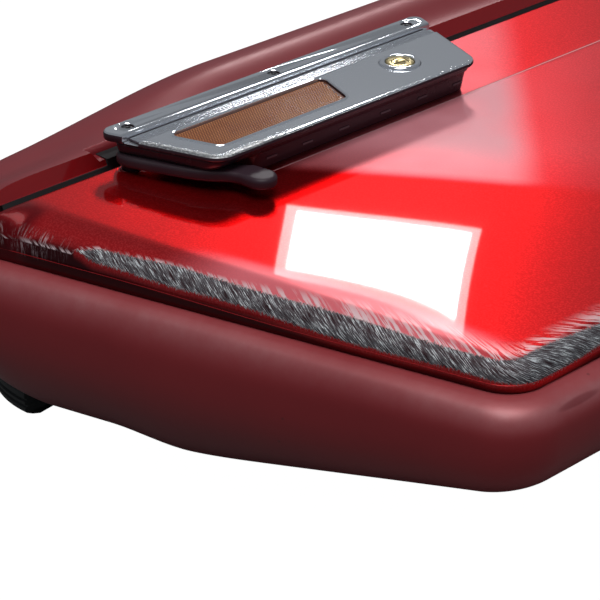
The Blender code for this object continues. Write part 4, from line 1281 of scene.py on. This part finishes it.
CAD_FINISH = {
    "strike_plate": "steel", "inner_stiffener": "steel", "mount_boss": "steel",
    "mount_bolt": "steel", "drain_plug": "rubber", "hinge": "steel",
    "shaft_bearing": "satin", "lever_pin": "steel", "hook_shaft": "steel",
}


def finish_cad_nodes(mats):
    """Give the small hardware that stays as CAD its material."""
    for name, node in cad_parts.items():
        for start, key in CAD_FINISH.items():
            if name.startswith(start):
                node.data.materials.clear()
                node.data.materials.append(mats[key])


# --------------------------------------------------------------------- studio
def area_light(name, centre, width, height, power):
    """Rectangular light from its centre and its two edge vectors, in metres."""
    data = bpy.data.lights.new(name, "AREA")
    data.shape = "RECTANGLE"
    width, height = Vector(width), Vector(height)
    across = width.normalized()
    back = across.cross(height).normalized()
    if back.dot(Vector(centre)) < 0:
        back = -back
    data.size, data.size_y = width.length, height.length
    data.energy = power
    light = bpy.data.objects.new(name, data)
    turn = Matrix((across, back.cross(across), back)).transposed().to_4x4()
    light.matrix_world = Matrix.Translation(centre) @ turn
    bpy.context.scene.collection.objects.link(light)


SOFTBOX_LONG, SOFTBOX_SHORT = (67.35, 34.3), (-45.2, 29.05)   # azimuth, elevation
# centre in datum mm; lengths of the two edges in metres; watts
SOFTBOXES = {"softbox_core": ((-1667.5, 1720.5, 1352.0), (0.434, 0.222), 8.0),
             "softbox_rim": ((-1674.5, 1731.5, 1363.0), (0.486, 0.276), 2.2)}
# backdrop as seen from the lid: azimuths of its sides, elevations of its top and foot
BACKDROP_SIDES, BACKDROP_ENDS = (178.0, 102.0), (34.0, 6.0)
BACKDROP_AWAY, BACKDROP_POWER = 2.7, 0.5
OVERHEAD_AT, OVERHEAD_SIZE, OVERHEAD_POWER = (0.3, -0.4, 2.4), (1.2, 1.5), 30.0
LID_MIDDLE = (-128.0, 27.0, 22.0)
FLOOR_REACH, FLOOR_DROP = 12.0, 0.0005
DIM_SURROUND = (0.135, 0.145, 0.16, 1.0)     # what the case reflects
WHITE = (1.0, 1.0, 1.0, 1.0)


def direction(azimuth, elevation):
    """Unit vector; azimuth counts from +X to +Y."""
    turn, lift = math.radians(azimuth), math.radians(elevation)
    return Vector((math.cos(turn) * math.cos(lift), math.sin(turn) * math.cos(lift),
                   math.sin(lift)))


def from_lid(azimuth, elevation, distance):
    """Point seen from the middle of the lid."""
    return place(*LID_MIDDLE) + distance * direction(azimuth, elevation)


def camera_split(tree, seen, unseen, output):
    """Show one shader to the camera and another to every other ray."""
    ray = tree.nodes.new("ShaderNodeLightPath")
    pick = tree.nodes.new("ShaderNodeMixShader")
    tree.links.new(ray.outputs["Is Camera Ray"], pick.inputs[0])
    tree.links.new(unseen, pick.inputs[1])
    tree.links.new(seen, pick.inputs[2])
    tree.links.new(pick.outputs[0], tree.nodes[output].inputs["Surface"])


def make_floor():
    """Large pale floor that shows as white and throws little light back."""
    bm = bmesh.new()
    bm.faces.new([bm.verts.new((x * FLOOR_REACH, y * FLOOR_REACH, -FLOOR_DROP))
                  for x, y in ((-1, -1), (1, -1), (1, 1), (-1, 1))])
    mat = bpy.data.materials.new("studio_floor")
    mat.use_nodes = True
    tree = mat.node_tree
    shader = tree.nodes["Principled BSDF"]
    shader.inputs["Base Color"].default_value = (0.10, 0.10, 0.10, 1.0)
    shader.inputs["Roughness"].default_value = 0.9
    glow = tree.nodes.new("ShaderNodeEmission")
    glow.inputs["Strength"].default_value = 1.0
    both = tree.nodes.new("ShaderNodeAddShader")
    tree.links.new(shader.outputs[0], both.inputs[0])
    tree.links.new(glow.outputs[0], both.inputs[1])
    dark = tree.nodes.new("ShaderNodeBsdfDiffuse")
    dark.inputs["Color"].default_value = (0.22, 0.22, 0.22, 1.0)
    camera_split(tree, both.outputs[0], dark.outputs[0], "Material Output")
    new_object("studio_floor", bm, mat)


def make_studio():
    """White surround for the camera, a dim one for reflections, and four lights."""
    scene = bpy.context.scene
    scene.view_settings.view_transform = "Standard"
    world = bpy.data.worlds.new("studio")
    world.use_nodes = True
    tree = world.node_tree
    background = tree.nodes["Background"]
    background.inputs["Color"].default_value = DIM_SURROUND
    white = tree.nodes.new("ShaderNodeBackground")
    white.inputs["Color"].default_value = WHITE
    white.inputs["Strength"].default_value = 1.0
    camera_split(tree, white.outputs[0], background.outputs[0], "World Output")
    scene.world = world

    long_edge, short_edge = direction(*SOFTBOX_LONG), direction(*SOFTBOX_SHORT)
    for name, (centre, (long_side, short_side), power) in SOFTBOXES.items():
        area_light(name, place(*centre), long_side * long_edge, short_side * short_edge,
                   power)
    (left, right), (high, low) = BACKDROP_SIDES, BACKDROP_ENDS
    top_left, top_right, low_left = (
        from_lid(*angles, BACKDROP_AWAY)
        for angles in ((left, high), (right, high), (left, low)))
    area_light("backdrop", (top_right + low_left) / 2, top_right - top_left,
               top_left - low_left, BACKDROP_POWER)
    across, deep = OVERHEAD_SIZE
    area_light("overhead", OVERHEAD_AT, (across, 0, 0), (0, deep, 0), OVERHEAD_POWER)
    make_floor()


CAMERA_AT = (734.5, -873.0, 634.3)
CAMERA_TILT, CAMERA_HEADING = 63.0, 45.5
CAMERA_LENS = 156.0


def make_camera():
    """Long lens that looks down on the latch end of the lid."""
    data = bpy.data.cameras.new("camera")
    data.lens = CAMERA_LENS
    data.sensor_width = 36.0
    data.clip_end = 100.0
    camera = bpy.data.objects.new("camera", data)
    camera.location = place(*CAMERA_AT)
    camera.rotation_euler = (math.radians(CAMERA_TILT), 0.0, math.radians(CAMERA_HEADING))
    bpy.context.scene.collection.objects.link(camera)
    bpy.context.scene.camera = camera


def main():
    mats = make_materials()
    make_case(mats)
    make_tub(mats)
    make_bumpers(mats)
    make_seal(mats)
    make_gap_seal(mats)
    make_lid(mats)
    make_liner(mats)
    make_latch_base(mats)
    make_bezel(mats)
    make_top_plate(mats)
    make_ribs(mats)
    make_reflector(mats)
    make_lock(mats)
    make_lever(mats)
    finish_cad_nodes(mats)
    make_studio()
    make_camera()


main()
